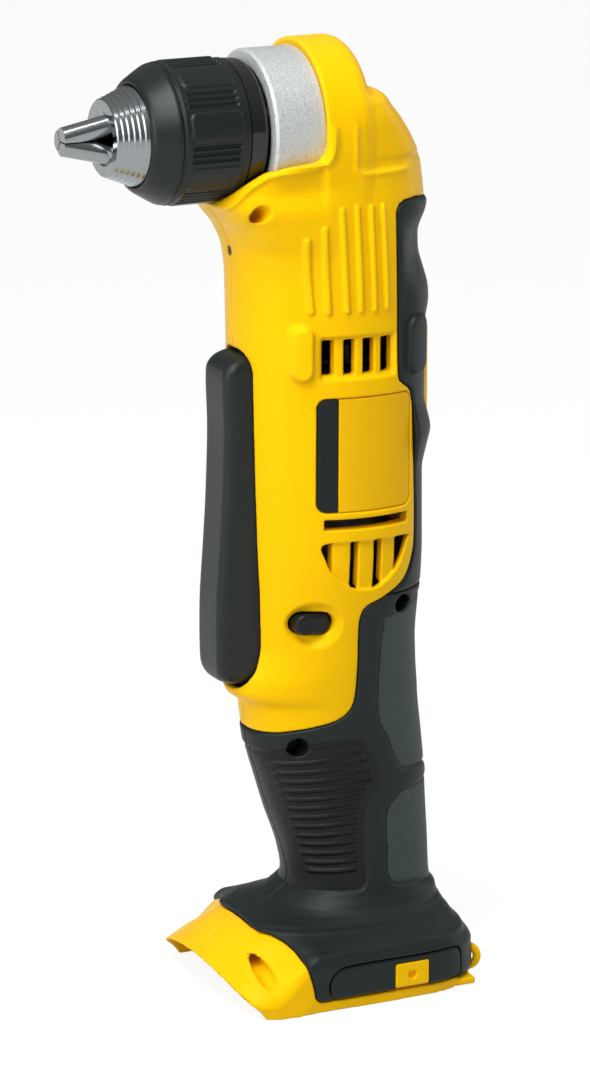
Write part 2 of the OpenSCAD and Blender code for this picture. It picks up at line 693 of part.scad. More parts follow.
module side_pads() {
    color(charcoal) both_sides() one_mesh() difference() {
        skin_on([pad_low, 8, 11, pad_high], function(z) angle_at(z, pad_front), function(z) angle_at(z,
            pad_back),
            12, even(-0.6), even(1));
        box([clip_x - gap, -60, pad_low - 1], [clip_x + clip_w + gap, 0, pad_low + clip_h + gap]);
    }
}
module pad_clips() {
    color(yellow) both_sides() difference() {
        box([clip_x, -foot_half_w - 0.8, pad_low], [clip_x + clip_w, 1 - foot_half_w, pad_low + clip_h]);
        along_y(clip_x + clip_w / 2, pad_low + clip_h / 2) translate([0, 0, foot_half_w - 0.4])
            cylinder(r = 1.3, h = 5);
    }
}
module led_lamp() {
    color("white") translate([0, 0, led_z]) rotate([0, -90, 0]) {
        translate([0, 0, led_body_x]) cylinder(r = led_body_r, h = led_body_l);
        translate([0, 0, led_body_x + led_body_l - eps]) cylinder(r = led_r, h = 3.2);
    }
}
module housing_screws() {
    color("dimgray") for (s = screws) along_y(s[0], s[1]) {
        translate([0, 0, -screw_end]) cylinder(r = screw_r, h = screw_end + s[2]);
        translate([0, 0, s[2]]) difference() {
            cylinder(r = screw_head_r, h = screw_head_h);
            translate([0, 0, screw_head_h - 1.4]) cylinder(r = screw_r, h = 2, $fn = 6);
        }
    }
}

// Head: gear case, spindle and bevel gears
retainer_r = bearing_r + 3.2;
retainer_h = 2.2;
bush_r = 6;
spindle_tail_r = 4;
cavity_r = 13.95;
bush_l = 5;
bearing_front = collar_front - retainer_h - gap;
bearing_back = bearing_front - bearing_w;
screw_circle = bearing_r + 1.4;
retainer_screw_r = 1;
module gear_case() {
    color("silver") difference() {
        union() {
            along_x(0) rotate_extrude() polygon([[0, -case_back], [case_boss_r, -case_back], [case_boss_r,
                -case_wall_x],
                [case_rear_r, -case_wall_x], [case_rear_r, case_step], [case_mid_r, case_step],
                [case_mid_r, collar_back], [collar_r, collar_back], [collar_r, collar_front - 0.8],
                [collar_r - 0.8, collar_front], [0, collar_front]]);
            translate([0, 0, sleeve_top]) cylinder(r = sleeve_r_out, h = neck_top - sleeve_top);
        }
        along_x(0) rotate_extrude() polygon([[0, -case_back - 1], [bush_r + seat, -case_back - 1],
            [bush_r + seat, bush_l - case_back], [spindle_tail_r + 1, bush_l - case_back],
                [spindle_tail_r + 1, 1.2],
            [cavity_r, 1.2], [cavity_r, bearing_back - seat],
            [bearing_r + seat, bearing_back - seat], [bearing_r + seat, bearing_front + seat],
            [retainer_r + seat, bearing_front + seat], [retainer_r + seat, collar_front + 1], [0,
                collar_front + 1]]);
        translate([0, 0, sleeve_top - 1]) cylinder(r = bearing_22_r + seat, h = pinion_seat
            + pinion_bearing_h + seat - sleeve_top + 1);
        translate([0, 0, sleeve_top]) cylinder(r = 9, h = neck_top - 1.4 - sleeve_top);
        for (i = [0:2]) along_x(0) rotate(120 * i + 60) translate([screw_circle, 0, bearing_front - 7])
            cylinder(r = retainer_screw_r + seat, h = 8, $fn = 24);
    }
}
module bearing_retainer() {
    color(steel) along_x(0) translate([0, 0, bearing_front + 2 * seat]) difference() {
        tube(retainer_r, spindle_r + 4, retainer_h);
        for (i = [0:2]) rotate(120 * i + 60) translate([screw_circle, 0, -1])
            cylinder(r = retainer_screw_r + seat, h = retainer_h + 2, $fn = 24);
    }
}
module retainer_screws() {
    color("dimgray") along_x(0) for (i = [0:2]) rotate(120 * i + 60)
        translate([screw_circle, 0, bearing_front - 6]) cylinder(r = retainer_screw_r, h = 6 + retainer_h
            + 2 * seat);
}
module front_bearing() { color(steel) along_x(0) translate([0, 0, bearing_back]) tube(bearing_r,
    spindle_r + seat, bearing_w); }
module rear_bushing() { color(brass) along_x(0) translate([0, 0, -case_back]) tube(bush_r, spindle_tail_r
    + run, bush_l); }

// Chuck seat on the spindle
flange_r = 8.5;
flange_back = collar_front + 0.4;
body_back_s = flange_back + 3.9;
thread_r = 4.7;
thread_end = body_back_s + 16.3;
chuck_screw_r = 2.5;
module spindle() {
    color(steel) along_x(0) rotate_extrude() polygon([[0, 0.6 - case_back], [spindle_tail_r, 0.6
        - case_back],
        [spindle_tail_r, 4], [spindle_r, 4], [spindle_r, flange_back], [flange_r, flange_back],
        [flange_r, body_back_s - seat], [thread_r, body_back_s - seat], [thread_r, thread_end],
        [chuck_screw_r + seat, thread_end], [chuck_screw_r + seat, body_back_s], [0, body_back_s]]);
}
module bevel_gear() {
    color(steel) translate([0, 0, chuck_z]) rotate([0, -90, 0]) difference() {
        union() {
            rotate(180 + 180 / wheel_teeth) bevel(wheel_teeth, 90 - pinion_cone, bevel_slack / 2);
            translate([0, 0, wheel_big_x - 0.6]) cylinder(r = 9, h = bearing_back - wheel_big_x + 0.5);
        }
        translate([0, 0, -1]) cylinder(r = spindle_r + seat, h = 30);
    }
}
socket_r = 4;
module bevel_pinion() {
    color(steel) {
        translate([0, 0, chuck_z]) rotate([180, 0, 0]) bevel(pinion_teeth, pinion_cone, bevel_slack);
        translate([0, 0, carrier_2 + 1]) cylinder(r = socket_r, h = pinion_big_z - carrier_2 - 0.6);
        translate([0, 0, pinion_seat + pinion_bearing_h + seat])
            cylinder(r = 5.4, h = pinion_big_z - pinion_seat - pinion_bearing_h);
    }
}
module pinion_bearing() { color(steel) translate([0, 0, pinion_seat]) tube(bearing_22_r, socket_r + run,
    pinion_bearing_h); }

// Planetary gearbox
ring_1_low = plate_z + plate_h + 1;
shift_low = stage_2 - 0.4;
shift_h = planet_w + 1.6;
module gearbox_sleeve() {
    color("dimgray") difference() {
        translate([0, 0, plate_z + plate_h]) tube(sleeve_r_out, sleeve_r_in, sleeve_top - plate_z
            - plate_h - seat);
        box([0, -link_half_w - gap, shift_low - shift_travel - 1], [40, link_half_w + gap, shift_low
            + shift_h]);
    }
}
module ring_gear() { color(steel) translate([0, 0, ring_1_low]) toothed_ring(carrier_1 - 0.6
    - ring_1_low); }
groove_depth = 0.9;
groove_h = 2.4;
module shift_ring() {
    color(steel) translate([0, 0, shift_low]) difference() {
        toothed_ring(shift_h);
        translate([0, 0, (shift_h - groove_h) / 2]) difference() {
            cylinder(r = ring_r + 1, h = groove_h);
            translate([0, 0, -1]) cylinder(r = ring_r - groove_depth, h = groove_h + 2);
        }
    }
}
module carrier_low() {
    color(steel) {
        planet_carrier(carrier_1, stage_1 - 0.4);
        translate([0, 0, carrier_1 + carrier_h - eps]) spur(carrier_2 - carrier_1 - carrier_h - gap);
    }
}
module carrier_out() {
    color(steel) difference() {
        union() {
            planet_carrier(carrier_2, stage_2 - 0.4);
            translate([0, 0, carrier_2]) cylinder(r = 7, h = pinion_seat - carrier_2 - gap);
        }
        translate([0, 0, carrier_2 + 1 - seat]) cylinder(r = socket_r + seat, h = 20);
    }
}
module planet_low(i) { color(steel) planet(stage_1, i); }
module planet_out(i) { color(steel) planet(stage_2, i); }

// Motor
bearing_16_r = 8;
motor_bearing_h = 5;
plate_boss_r = bearing_16_r + 2;
cap_h = 11;
cap_z = can_z - cap_h;
front_bearing_z = plate_z - 1;
rear_bearing_z = cap_z + 1.5;
module motor_plate() {
    color("silver") difference() {
        union() {
            translate([0, 0, plate_z]) cylinder(r = sleeve_r_out, h = plate_h - seat);
            translate([0, 0, front_bearing_z - 0.3]) cylinder(r = plate_boss_r, h = motor_bearing_h);
        }
        translate([0, 0, front_bearing_z - 1]) cylinder(r = bearing_16_r + seat, h = motor_bearing_h);
        translate([0, 0, plate_z - 5]) cylinder(r = sun_tip + 1, h = 20);
        for (i = [0:5]) rotate(60 * i) translate([14.5, 0, plate_z - 5]) cylinder(r = 2, h = 20, $fn = 24);
    }
}
module motor_can() { color("slategray") translate([0, 0, can_z]) tube(can_r, can_r - can_wall, can_l); }
magnet_gap = 0.7;
magnet_z = can_z + 12;
magnet_l = can_l - 22;
module magnets() {
    color("darkslategray") for (a = [0, 180]) rotate(a - 62) translate([0, 0, magnet_z])
        rotate_extrude(angle = 124) translate([rotor_r + magnet_gap, 0])
            square([can_r - can_wall - rotor_r - magnet_gap - seat, magnet_l]);
}
module motor_bearings() {
    color(steel) for (z = [front_bearing_z - motor_bearing_h + 4 - seat, rear_bearing_z])
        translate([0, 0, z]) tube(bearing_16_r, shaft_r + run, motor_bearing_h);
}
rotor_z = magnet_z + 2;
rotor_l = magnet_l - 4;
pinion_top = carrier_1 - gap;
module rotor_shaft() {
    color(steel) translate([0, 0, cap_z + 0.8]) cylinder(r = shaft_r, h = pinion_top - cap_z - 0.8);
}
slots = 9;
module rotor_core() {
    color("dimgray") translate([0, 0, rotor_z]) difference() {
        cylinder(r = rotor_r, h = rotor_l);
        translate([0, 0, -1]) cylinder(r = shaft_r + seat, h = rotor_l + 2);
        for (i = [0:slots - 1]) rotate(360 * i / slots) translate([rotor_r - 2.6, 0, -1]) {
            cylinder(r = 1.7, h = rotor_l + 2, $fn = 24);
            translate([0, -0.7, 0]) cube([5, 1.4, rotor_l + 2]);
        }
    }
}
winding_h = 6;
module windings() {
    color([0.72, 0.35, 0.15]) for (z = [rotor_z - winding_h - seat, rotor_z + rotor_l + seat])
        translate([0, 0, z])
        rotate_extrude() translate([shaft_r + 0.4, 0]) square([rotor_r - 1.6 - shaft_r, winding_h]);
}
commutator_r = 6.5;
commutator_z = can_z - 4.2;
commutator_l = 8;
module commutator() {
    color([0.8, 0.5, 0.25]) translate([0, 0, commutator_z]) tube(commutator_r, shaft_r + seat,
        commutator_l);
}
blades = 11;
fan_r = 16.6;
module cooling_fan() {
    color(charcoal) translate([0, 0, fan_z]) difference() {
        union() {
            cylinder(r = 6, h = fan_h - 3.2);
            cylinder(r = fan_r, h = 1.2);
            for (i = [0:blades - 1]) rotate(360 * i / blades) translate([5, -0.6, 0]) cube([fan_r - 5.6,
                1.2, fan_h - 1.4]);
        }
        translate([0, 0, -1]) cylinder(r = shaft_r + seat, h = fan_h + 2);
        translate([0, 0, fan_h - 3.2]) cylinder(r = plate_boss_r + 0.8, h = 10);
    }
}
module motor_pinion() {
    color(steel) difference() {
        translate([0, 0, stage_1 - 0.8]) spur(pinion_top - stage_1 + 0.8);
        translate([0, 0, stage_1 - 5]) cylinder(r = shaft_r + seat, h = 30);
    }
}
brush_w = 4;
brush_h = 3.6;
brush_z = commutator_z + 1.2;
brush_end = 15.5;
module brush_cap() {
    color(charcoal) difference() {
        translate([0, 0, cap_z]) cylinder(r = can_r, h = cap_h - seat);
        translate([0, 0, rear_bearing_z]) cylinder(r = bearing_16_r + seat, h = cap_h);
        translate([0, 0, cap_z - 1]) cylinder(r = shaft_r + 0.6, h = cap_h);
        translate([0, 0, rear_bearing_z + motor_bearing_h]) cylinder(r = commutator_r + 1.5, h = cap_h);
        box([-brush_end - seat, -brush_w / 2 - seat, brush_z - seat], [brush_end + seat, brush_w / 2
            + seat, can_z + 1]);
    }
}
module brushes() {
    color([0.25, 0.25, 0.27]) for (a = [0, 180]) rotate(a)
        box([commutator_r + run + 0.2, -brush_w / 2, brush_z], [brush_end, brush_w / 2, brush_z + brush_h]);
}

// Keyless chuck, as distances from the motor axis along the chuck axis
nut_back = 56.3;
nut_h = 5.9;
chuck_body_r = 17.4;
groove_r = 12;
web = 3;
bit_r = 5.4;
ring_r_in = 18.6;
ring_front = sleeve_back - gap;
jaw_travel = 5 / sin(jaw_slope);
jaw_edge = 4.5;
jaw_turn = 90;
jaw_axis_r = jaw_edge - jaw_d / 2 / cos(jaw_slope);
function jaw_outer(s) = jaw_edge + (jaw_tip - s) * tan(jaw_slope);
module at_jaw(i) {
    along_x(0) rotate(120 * (i - 1) + jaw_turn) translate([jaw_axis_r, 0, jaw_tip]) rotate([0, 180
        - jaw_slope, 0]) children();
}
module chuck_body() {
    step = (sleeve_front - nose_front) / cone_steps;
    color(steel) difference() {
        along_x(0) rotate_extrude() polygon(concat(
            [[thread_r + seat, body_back_s], [ring_r_in, body_back_s], [ring_r_in, sleeve_back + 1.4],
                [chuck_body_r, sleeve_back + 1.4], [chuck_body_r, nut_back - gap], [groove_r, nut_back
                    - gap],
                [groove_r, nut_back + nut_h + gap], [cone_r, nut_back + nut_h + gap]],
            [for (i = [0:cone_steps - 1]) let (s = sleeve_front - step * i, r = cone_r + (nose_r
                - cone_r) * i / cone_steps)
                each [[r, s], [r - 0.25, s - step * 0.75]]],
            [[nose_r, nose_front], [bit_r + 3, nose_front], [bit_r, nose_front - 2],
                [bit_r, thread_end + seat + web], [chuck_screw_r + seat, thread_end + seat + web],
                [chuck_screw_r + seat, thread_end + seat], [thread_r + seat, thread_end + seat]]));
        for (i = [1:3]) at_jaw(i) translate([0, 0, -20]) cylinder(r = jaw_d / 2 + run, h = 20 + jaw_l
            + jaw_travel + gap);
    }
}
grooves_per_group = 3;
groups = 8;
groove_pitch = 5.5;
first_group = -9.5;
nut_r = sleeve_r - 4.7;
module chuck_sleeve() {
    color(charcoal) difference() {
        along_x(0) rotate_extrude() polygon([[ring_r_in + 0.2, sleeve_back], [sleeve_r - 0.6, sleeve_back],
            [sleeve_r, sleeve_back + 1], [sleeve_r, sleeve_front - 11], [sleeve_r - 0.4, sleeve_front
                - 9.1], [sleeve_r - 1, sleeve_front - 8.9],
            [sleeve_r - 1, sleeve_front - 8.1], [sleeve_r - 0.6, sleeve_front - 7.9], [sleeve_r - 1.4,
                sleeve_front - 4.5], [sleeve_r - 2.6, sleeve_front - 2],
            [cone_r + 0.6, sleeve_front], [cone_r + gap, sleeve_front], [cone_r + gap, nut_back + nut_h
                + gap],
            [nut_r + seat, nut_back + nut_h + gap], [nut_r + seat, nut_back - seat], [chuck_body_r + 0.6,
                nut_back - seat],
            [chuck_body_r + 0.6, sleeve_back + 1.8], [ring_r_in + 0.2, sleeve_back + 1.8]]);
        for (p = [0:groups - 1]) for (k = [0:grooves_per_group - 1])
            along_x(0) rotate(360 * p / groups + first_group + groove_pitch * (k - 1))
                translate([sleeve_r + 0.3, 0, sleeve_back + 3.4])
                cylinder(r = 0.8, h = 16, $fn = 24);
    }
}
module chuck_rear_ring() {
    color([0.08, 0.08, 0.09]) along_x(0) rotate_extrude() polygon([[ring_r_in + seat, collar_front + 1.4],
        [sleeve_r - 1.7, collar_front + 1.4], [sleeve_r - 1, collar_front + 2.4], [sleeve_r - 0.7,
            ring_front], [ring_r_in + seat, ring_front]]);
}
module chuck_nut() {
    color(steel) along_x(0) rotate_extrude() polygon([[jaw_outer(nut_back) + gap, nut_back], [nut_r,
        nut_back],
        [nut_r, nut_back + nut_h], [jaw_outer(nut_back + nut_h) + gap, nut_back + nut_h]]);
}
module chuck_screw() {
    color("dimgray") along_x(0) difference() {
        union() {
            translate([0, 0, body_back_s + 2.5]) cylinder(r = chuck_screw_r, h = thread_end + web
                - body_back_s - 2);
            translate([0, 0, thread_end + web + 2 * seat]) cylinder(r = 4.4, h = 3.2);
        }
        translate([0, 0, thread_end + web + 1.8]) cylinder(r = 1.6, h = 3, $fn = 6);
    }
}
// A jaw: a round bar along its slope, cut to its third of the circle
jaw_clear = 0.12;
module jaw(i) {
    color(steel) intersection() {
        at_jaw(i) translate([0, 0, -4]) cylinder(r = jaw_d / 2, h = jaw_l + 4);
        along_x(0) rotate(120 * (i - 1) + jaw_turn) translate([2 * jaw_clear, 0, 0])
            linear_extrude(jaw_tip) polygon([[0, 0], [40 * cos(60), 40 * sin(60)], [40, 0], [40 * cos(60),
                -40 * sin(60)]]);
    }
}

// Trigger, switch and buttons
paddle_rows = [[paddle_low, 5], [paddle_low + 1, 2.6], [paddle_low + 4, 0.6], [paddle_low + 11, 0],
    [paddle_low + 27, 0.1],
    [paddle_low + 43, 1.2], [paddle_low + 59, 2.2], [paddle_low + 80, 2.9], [paddle_high - 7, 2.6],
        [paddle_high - 3, 4],
    [paddle_high - 1, 6], [paddle_high, 8.5]];
paddle_front = 2 - body_front - paddle_reach;
paddle_back = -27.2;
paddle_round = 3.4;
module paddle_solid() {
    corner = [for (a = [0:22.5:90]) [1 - cos(a), 1 - sin(a)]];
    half = len(corner);
    n = 2 * half + 2;
    points = [for (row = paddle_rows) let (f = paddle_front + row[1], r = min(paddle_round, paddle_back
        - f - 1))
        each concat([[paddle_back, paddle_half_w, row[0]]],
            [for (i = [0:half - 1]) [f + r * corner[i][1], paddle_half_w - r * corner[i][0], row[0]]],
            [for (i = [half - 1:-1:0]) [f + r * corner[i][1], r * corner[i][0] - paddle_half_w, row[0]]],
            [[paddle_back, -paddle_half_w, row[0]]])];
    rows_n = len(paddle_rows);
    faces = concat(
        [for (i = [0:rows_n - 2]) for (j = [0:n - 1]) let (a = i * n + j, d = i * n + (j + 1) % n, b = a
            + n, c = d + n)
            each [[a, b, c], [a, c, d]]],
        [[for (j = [0:n - 1]) j], [for (j = [n - 1:-1:0]) (rows_n - 1) * n + j]]);
    polyhedron(points, faces);
}
paddle_wall = 2.2;
module paddle_trigger() {
    color(charcoal) difference() {
        union() {
            difference() {
                paddle_solid();
                box([paddle_front + 6, paddle_wall - paddle_half_w, paddle_low + 5],
                    [0, paddle_half_w - paddle_wall, pivot_z - 6]);
            }
            translate([0, -paddle_half_w, 0]) rotate([0, 0, 180]) along_y(-pivot_x, pivot_z)
                cylinder(r = pivot_r + 1.8, h = 2 * paddle_half_w);
        }
        translate([0, 40, 0]) along_y(pivot_x, pivot_z) cylinder(r = pivot_r + run, h = 80);
    }
}
module trigger_pin() {
    color(steel) translate([0, pin_reach, 0]) along_y(pivot_x, pivot_z) cylinder(r = pivot_r, h = 2
        * pin_reach);
}
module switch_body() {
    color(charcoal) difference() {
        union() {
            box([switch_front, -switch_half_w, switch_z], [switch_back, switch_half_w, switch_z
                + switch_h]);
            translate([lever_x, 0, switch_z]) cylinder(r = 2, h = lever_z + lever_h - switch_z);
        }
        box([switch_front - 1, -plunger_half_w - gap, plunger_z - plunger_h / 2 - gap],
            [switch_front + 9, plunger_half_w + gap, plunger_z + plunger_h / 2 + gap]);
    }
}
module switch_plunger() {
    color([0.6, 0.1, 0.1]) box([paddle_back + gap, -plunger_half_w, plunger_z - plunger_h / 2],
        [switch_front + 1.6, plunger_half_w, plunger_z + plunger_h / 2]);
}
bar_z = lever_z + lever_h + 0.3;
bar_h = 4.2;
module direction_button() {
    color(charcoal) difference() {
        union() {
            box([button_x - 2.6, 1 - button_reach, bar_z], [button_x + 3.6, button_reach - 1, bar_z
                + bar_h]);
            both_sides() along_y(button_x, button_z) translate([0, 0, 13.4]) pill(button_l, button_h,
                button_reach - 13.4);
        }
        box([lever_x - 13.6, -peg_r - 0.15, bar_z - 1], [lever_x - 8.6, peg_r + 0.15, bar_z + bar_h + 1]);
    }
}
module direction_lever() {
    color("dimgray") difference() {
        union() {
            translate([lever_x, 0, lever_z]) cylinder(r = 4, h = lever_h);
            box([lever_x - 11, -2, lever_z], [lever_x, 2, lever_z + lever_h]);
            translate([lever_x - 11, 0, lever_z]) cylinder(r = peg_r, h = lever_h + 3.6);
            translate([lever_x - 11, 0, lever_z]) cylinder(r = 2, h = lever_h);
        }
        translate([lever_x, 0, lever_z - 1]) cylinder(r = 2 + run, h = lever_h + 2);
    }
}
module speed_selector() {
    color(charcoal) difference() {
        union() {
            box([body_back - 0.8 + gap, -selector_half_w, selector_z], [body_back + selector_proud,
                selector_half_w, selector_z + selector_h]);
            box([link_x, -stem_half_w, stem_z], [body_back, stem_half_w, stem_z + stem_h]);
            box([link_x, -link_half_w, stem_z], [link_x + link_t, link_half_w, shift_low + shift_h / 2
                + 2]);
            translate([ring_r - groove_depth + 0.1, 0, shift_low + shift_h / 2]) rotate([0, 90, 0])
                cylinder(r = 1, h = link_x - ring_r + groove_depth);
        }
        for (i = [0:4]) box([body_back + selector_proud - 0.7, -10, selector_z + 4 + i * 4],
            [body_back + selector_proud + 1, 10, selector_z + 5.6 + i * 4]);
    }
}

// Battery terminals
blade_count = 5;
blade_pitch = 5;
block_top = cavity_low + 2;
module terminal_block() {
    color(charcoal) difference() {
        union() {
            box([block_front, -block_half_w, 6], [block_back, block_half_w, cavity_low + 0.5]);
            box([block_front - 2, -block_half_w - 2, cavity_low + seat], [block_back + 2, block_half_w
                + 2, block_top]);
        }
        for (i = [0:blade_count - 1]) box([block_front - 1, (i - 2) * blade_pitch - 1.4, 5],
            [block_back - 8, (i - 2) * blade_pitch + 1.4, 13]);
    }
}
module terminal_blades() {
    color(brass) for (i = [0:blade_count - 1]) box([block_front + 3, (i - 2) * blade_pitch - 0.4, 7],
        [block_back - 8 - seat, (i - 2) * blade_pitch + 0.4, 12.5]);
}
// Leads from the terminals up to the switch, and from the switch up to the brushes
lead_r = 1.1;
lead_x = 3;
lead_y = 3;
motor_lead_x = 9;
module wiring() {
    color("firebrick") both_sides() {
        translate([lead_x, -lead_y, block_top]) cylinder(r = lead_r, h = switch_z - block_top);
        translate([motor_lead_x, -lead_y, switch_z + switch_h]) cylinder(r = lead_r, h = cap_z - switch_z
            - switch_h);
    }
}

housing_left();
housing_right();
grip_left();
grip_right();
back_strip();
nameplates();
side_pads();
pad_clips();
led_lamp();
housing_screws();
gear_case();
bearing_retainer();
retainer_screws();
front_bearing();
rear_bushing();
spindle();
bevel_gear();
bevel_pinion();
pinion_bearing();
gearbox_sleeve();
ring_gear();
shift_ring();
carrier_low();
carrier_out();
planet_low(1);  // planet_low_1
planet_low(2);  // planet_low_2
planet_low(3);  // planet_low_3
planet_out(1);  // planet_out_1
planet_out(2);  // planet_out_2
planet_out(3);  // planet_out_3
motor_plate();
motor_can();
magnets();
motor_bearings();
rotor_shaft();
rotor_core();
windings();
commutator();
cooling_fan();
motor_pinion();
brush_cap();
brushes();
chuck_body();
chuck_sleeve();
chuck_rear_ring();
chuck_nut();
chuck_screw();
jaw(1);  // jaw_1
jaw(2);  // jaw_2
jaw(3);  // jaw_3
paddle_trigger();
trigger_pin();
switch_body();
switch_plunger();
direction_button();
direction_lever();
speed_selector();
terminal_block();
terminal_blades();
wiring();
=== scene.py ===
"""Cordless right angle drill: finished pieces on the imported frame."""
import json
import math
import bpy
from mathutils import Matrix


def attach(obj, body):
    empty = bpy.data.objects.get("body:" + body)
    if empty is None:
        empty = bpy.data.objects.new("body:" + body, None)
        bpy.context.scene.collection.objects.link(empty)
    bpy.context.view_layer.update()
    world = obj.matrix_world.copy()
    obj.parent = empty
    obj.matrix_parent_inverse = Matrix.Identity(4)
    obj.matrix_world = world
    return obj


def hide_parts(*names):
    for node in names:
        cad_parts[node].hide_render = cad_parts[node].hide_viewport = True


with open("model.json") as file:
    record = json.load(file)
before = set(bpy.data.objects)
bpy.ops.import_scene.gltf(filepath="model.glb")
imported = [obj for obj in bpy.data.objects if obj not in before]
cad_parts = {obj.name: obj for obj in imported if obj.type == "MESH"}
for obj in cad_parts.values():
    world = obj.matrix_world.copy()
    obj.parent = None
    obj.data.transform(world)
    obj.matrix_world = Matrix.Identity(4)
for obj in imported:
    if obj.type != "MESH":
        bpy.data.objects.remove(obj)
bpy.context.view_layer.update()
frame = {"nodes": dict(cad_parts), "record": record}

from concurrent.futures import ThreadPoolExecutor

import bpy
import numpy as np
from mathutils import Vector

MM = 0.001
FINE = 0.5

# Main sizes in millimetres, as in the solids
CHUCK_Z = 274.0
HEAD_R = 26.0
HEAD_BACK = 3.0
COLLAR_BACK = 13.2
COLLAR_FRONT = 29.2
COLLAR_R = 23.5
WALL = 2.6
SKIN = 1.8
STRIP_SKIN = 2.4
SEAM = 0.05
SEAM_SHUT = 0.002
PADDLE_LOW = 100.0
PADDLE_HIGH = 206.0
PADDLE_HALF = 9.0
LIP_Z = 13.0
BAY_HALF = 32.4
BAY_BACK = 34.0
LIP_R = 72.0
LAMP_Z = 236.5
LAMP_R = 1.6
SELECTOR_Z = 193.5
SELECTOR_PILL_Z = 199
GRIP_TOP = 129.1
STRIP_FOOT = 129.2
STRIP_FROM = 128
BOSS_R = 5.6
RAIL = ((-26, 27, 0.6), (BAY_BACK + 1, 33.4, 2.6))
TERMINAL_ROOM = ((-6.3, -1, 2), (24.3, 13.3, 19))
PADDLE_DEEP = -19.5
SELECTOR_SLOT = ((17, -5, 180.9), (60, 4.1, 205.3))
SELECTOR_WELL = ((26.5, -5, 180.9), (60, 6.8, 212.3))

# Cross sections of the body from the foot up: height, front, back, half width,
# squareness of the front and of the back, place of the widest point, bow of the front
ROWS = np.array([
    [0, -43.0, 40.2, 35, 14, 3.4, 8, 6.6],
    [5, -43.4, 40.8, 35.7, 13, 3.4, 8, 6.2],
    [7.5, -44.2, 40.8, 35.7, 12, 3.4, 8, 5.8],
    [10, -45.6, 40.4, 35.7, 12, 3.4, 8, 5.4],
    [12.5, -47.6, 39.8, 35.7, 12, 3.4, 8, 5],
    [13, -48.1, 39.7, 35.7, 12, 3.4, 8, 5],
    [13.5, -47.6, 39.4, 35.7, 12, 3.4, 8, 5],
    [16.7, -42.9, 37.2, 35.2, 10, 3.2, 7, 6.4],
    [17.3, -42.1, 36.8, 34.9, 9, 3.2, 7, 6.4],
    [17.9, -41.2, 36.4, 34.3, 6.5, 3.2, 7, 5.8],
    [19.6, -38.8, 35.2, 31.8, 3.4, 3, 7, 3.4],
    [21.4, -36, 34.3, 28.8, 2.5, 2.9, 7, 1.4],
    [22.6, -33.2, 33.7, 26.8, 2.3, 2.8, 7, 0.6],
    [23.6, -29.6, 33.4, 25.2, 2.2, 2.7, 7, 0],
    [24.6, -25.4, 33.1, 24, 2.2, 2.6, 7, 0],
    [25.8, -21.8, 32.8, 22.8, 2.2, 2.5, 7, 0],
    [27.4, -19, 32.6, 21.7, 2.2, 2.5, 7, 0],
    [30, -16.6, 32.3, 20.6, 2.2, 2.4, 7, 0],
    [34, -15.2, 32, 19.8, 2.3, 2.4, 7, 0],
    [42, -16.7, 31.7, 19.4, 2.3, 2.4, 7, 0],
    [56, -21.6, 30.9, 19.5, 2.3, 2.4, 5, 0],
    [67, -25, 30.4, 19.6, 2.3, 2.4, 3, 0],
    [78, -28.3, 29.3, 19.8, 2.2, 2.4, 2, 0],
    [90, -30.2, 27.8, 20.4, 2.1, 2.4, 1, 0],
    [93, -30.5, 27.5, 20.7, 2.1, 2.4, 1, 0],
    [94.6, -32.4, 27.4, 20.9, 2.1, 2.4, 1, 0],
    [96.4, -34.6, 27.2, 21.1, 2.1, 2.4, 1, 0],
    [98.4, -35.4, 27, 21.3, 2.1, 2.4, 1, 0],
    [102, -34.8, 26.7, 21.7, 2.1, 2.4, 0, 0],
    [107, -33, 26.3, 22.4, 2, 2.4, 0, 0],
    [113, -31.5, 26, 23.1, 2, 2.4, 0, 0],
    [126, -31.2, 26.6, 25, 2, 2.4, 0, 0],
    [145, -31.8, 27.3, 26.8, 2, 2.4, 0, 0],
    [170, -32.6, 27.3, 27, 2, 2.4, 0, 0],
    [210, -33.5, 27.3, 27, 2, 2.4, 0, 0],
    [228, -33.9, 27.3, 27, 2, 2.4, 0, 0],
    [236, -34.3, 27.3, 26.8, 2.2, 2.4, 0, 0],
    [245, -36.9, 27.3, 26.4, 3, 2.4, 0, 0],
    [252.5, -41.6, 27.2, 26, 3.6, 2.4, 0, 0],
    [258, -40, 26.6, 25.6, 4, 2.4, 0, 0],
    [262, -36, 26, 25.4, 4.5, 2.4, 0, 0],
    [264.5, -30, 25, 25.2, 5, 2.4, 0, 0],
    [266, -18, 24.2, 25.4, 5, 2.6, 0, 0],
    [268, -15, 22.9, 25.5, 4.5, 2.7, 0, 0],
    [271, -13.6, 21, 25.5, 4, 2.8, 0, 0],
    [276, -13.4, 17.5, 25.2, 4, 2.9, 0, 0],
    [284.5, -13.4, 11.9, 23.4, 4, 3, 0, 0],
])
TOP = ROWS[-1, 0]
TICK = 0.1


def smooth_column(heights, column):
    """A smooth curve through one column of the rows that never overshoots."""
    z = ROWS[:, 0]
    v = ROWS[:, column]
    chord = np.diff(v) / np.diff(z)
    slope = np.zeros(len(z))
    same = chord[:-1] * chord[1:] > 0
    total = np.where(same, chord[:-1] + chord[1:], 1)
    slope[1:-1] = np.where(same, 2 * chord[:-1] * chord[1:] / total, 0)
    i = np.clip(np.searchsorted(z, heights, side="right") - 1, 0, len(z) - 2)
    h = z[i + 1] - z[i]
    u = np.clip((heights - z[i]) / h, 0, 1)
    blend = v[i] + (v[i + 1] - v[i]) * u * u * (3 - 2 * u)
    return blend + h * u * (1 - u) * ((1 - u) * slope[i] - u * slope[i + 1])


HEIGHTS = np.arange(0, TOP + 4 * TICK, TICK)
COLUMNS = np.stack([smooth_column(HEIGHTS, c) for c in range(1, 8)]).astype(np.float32)


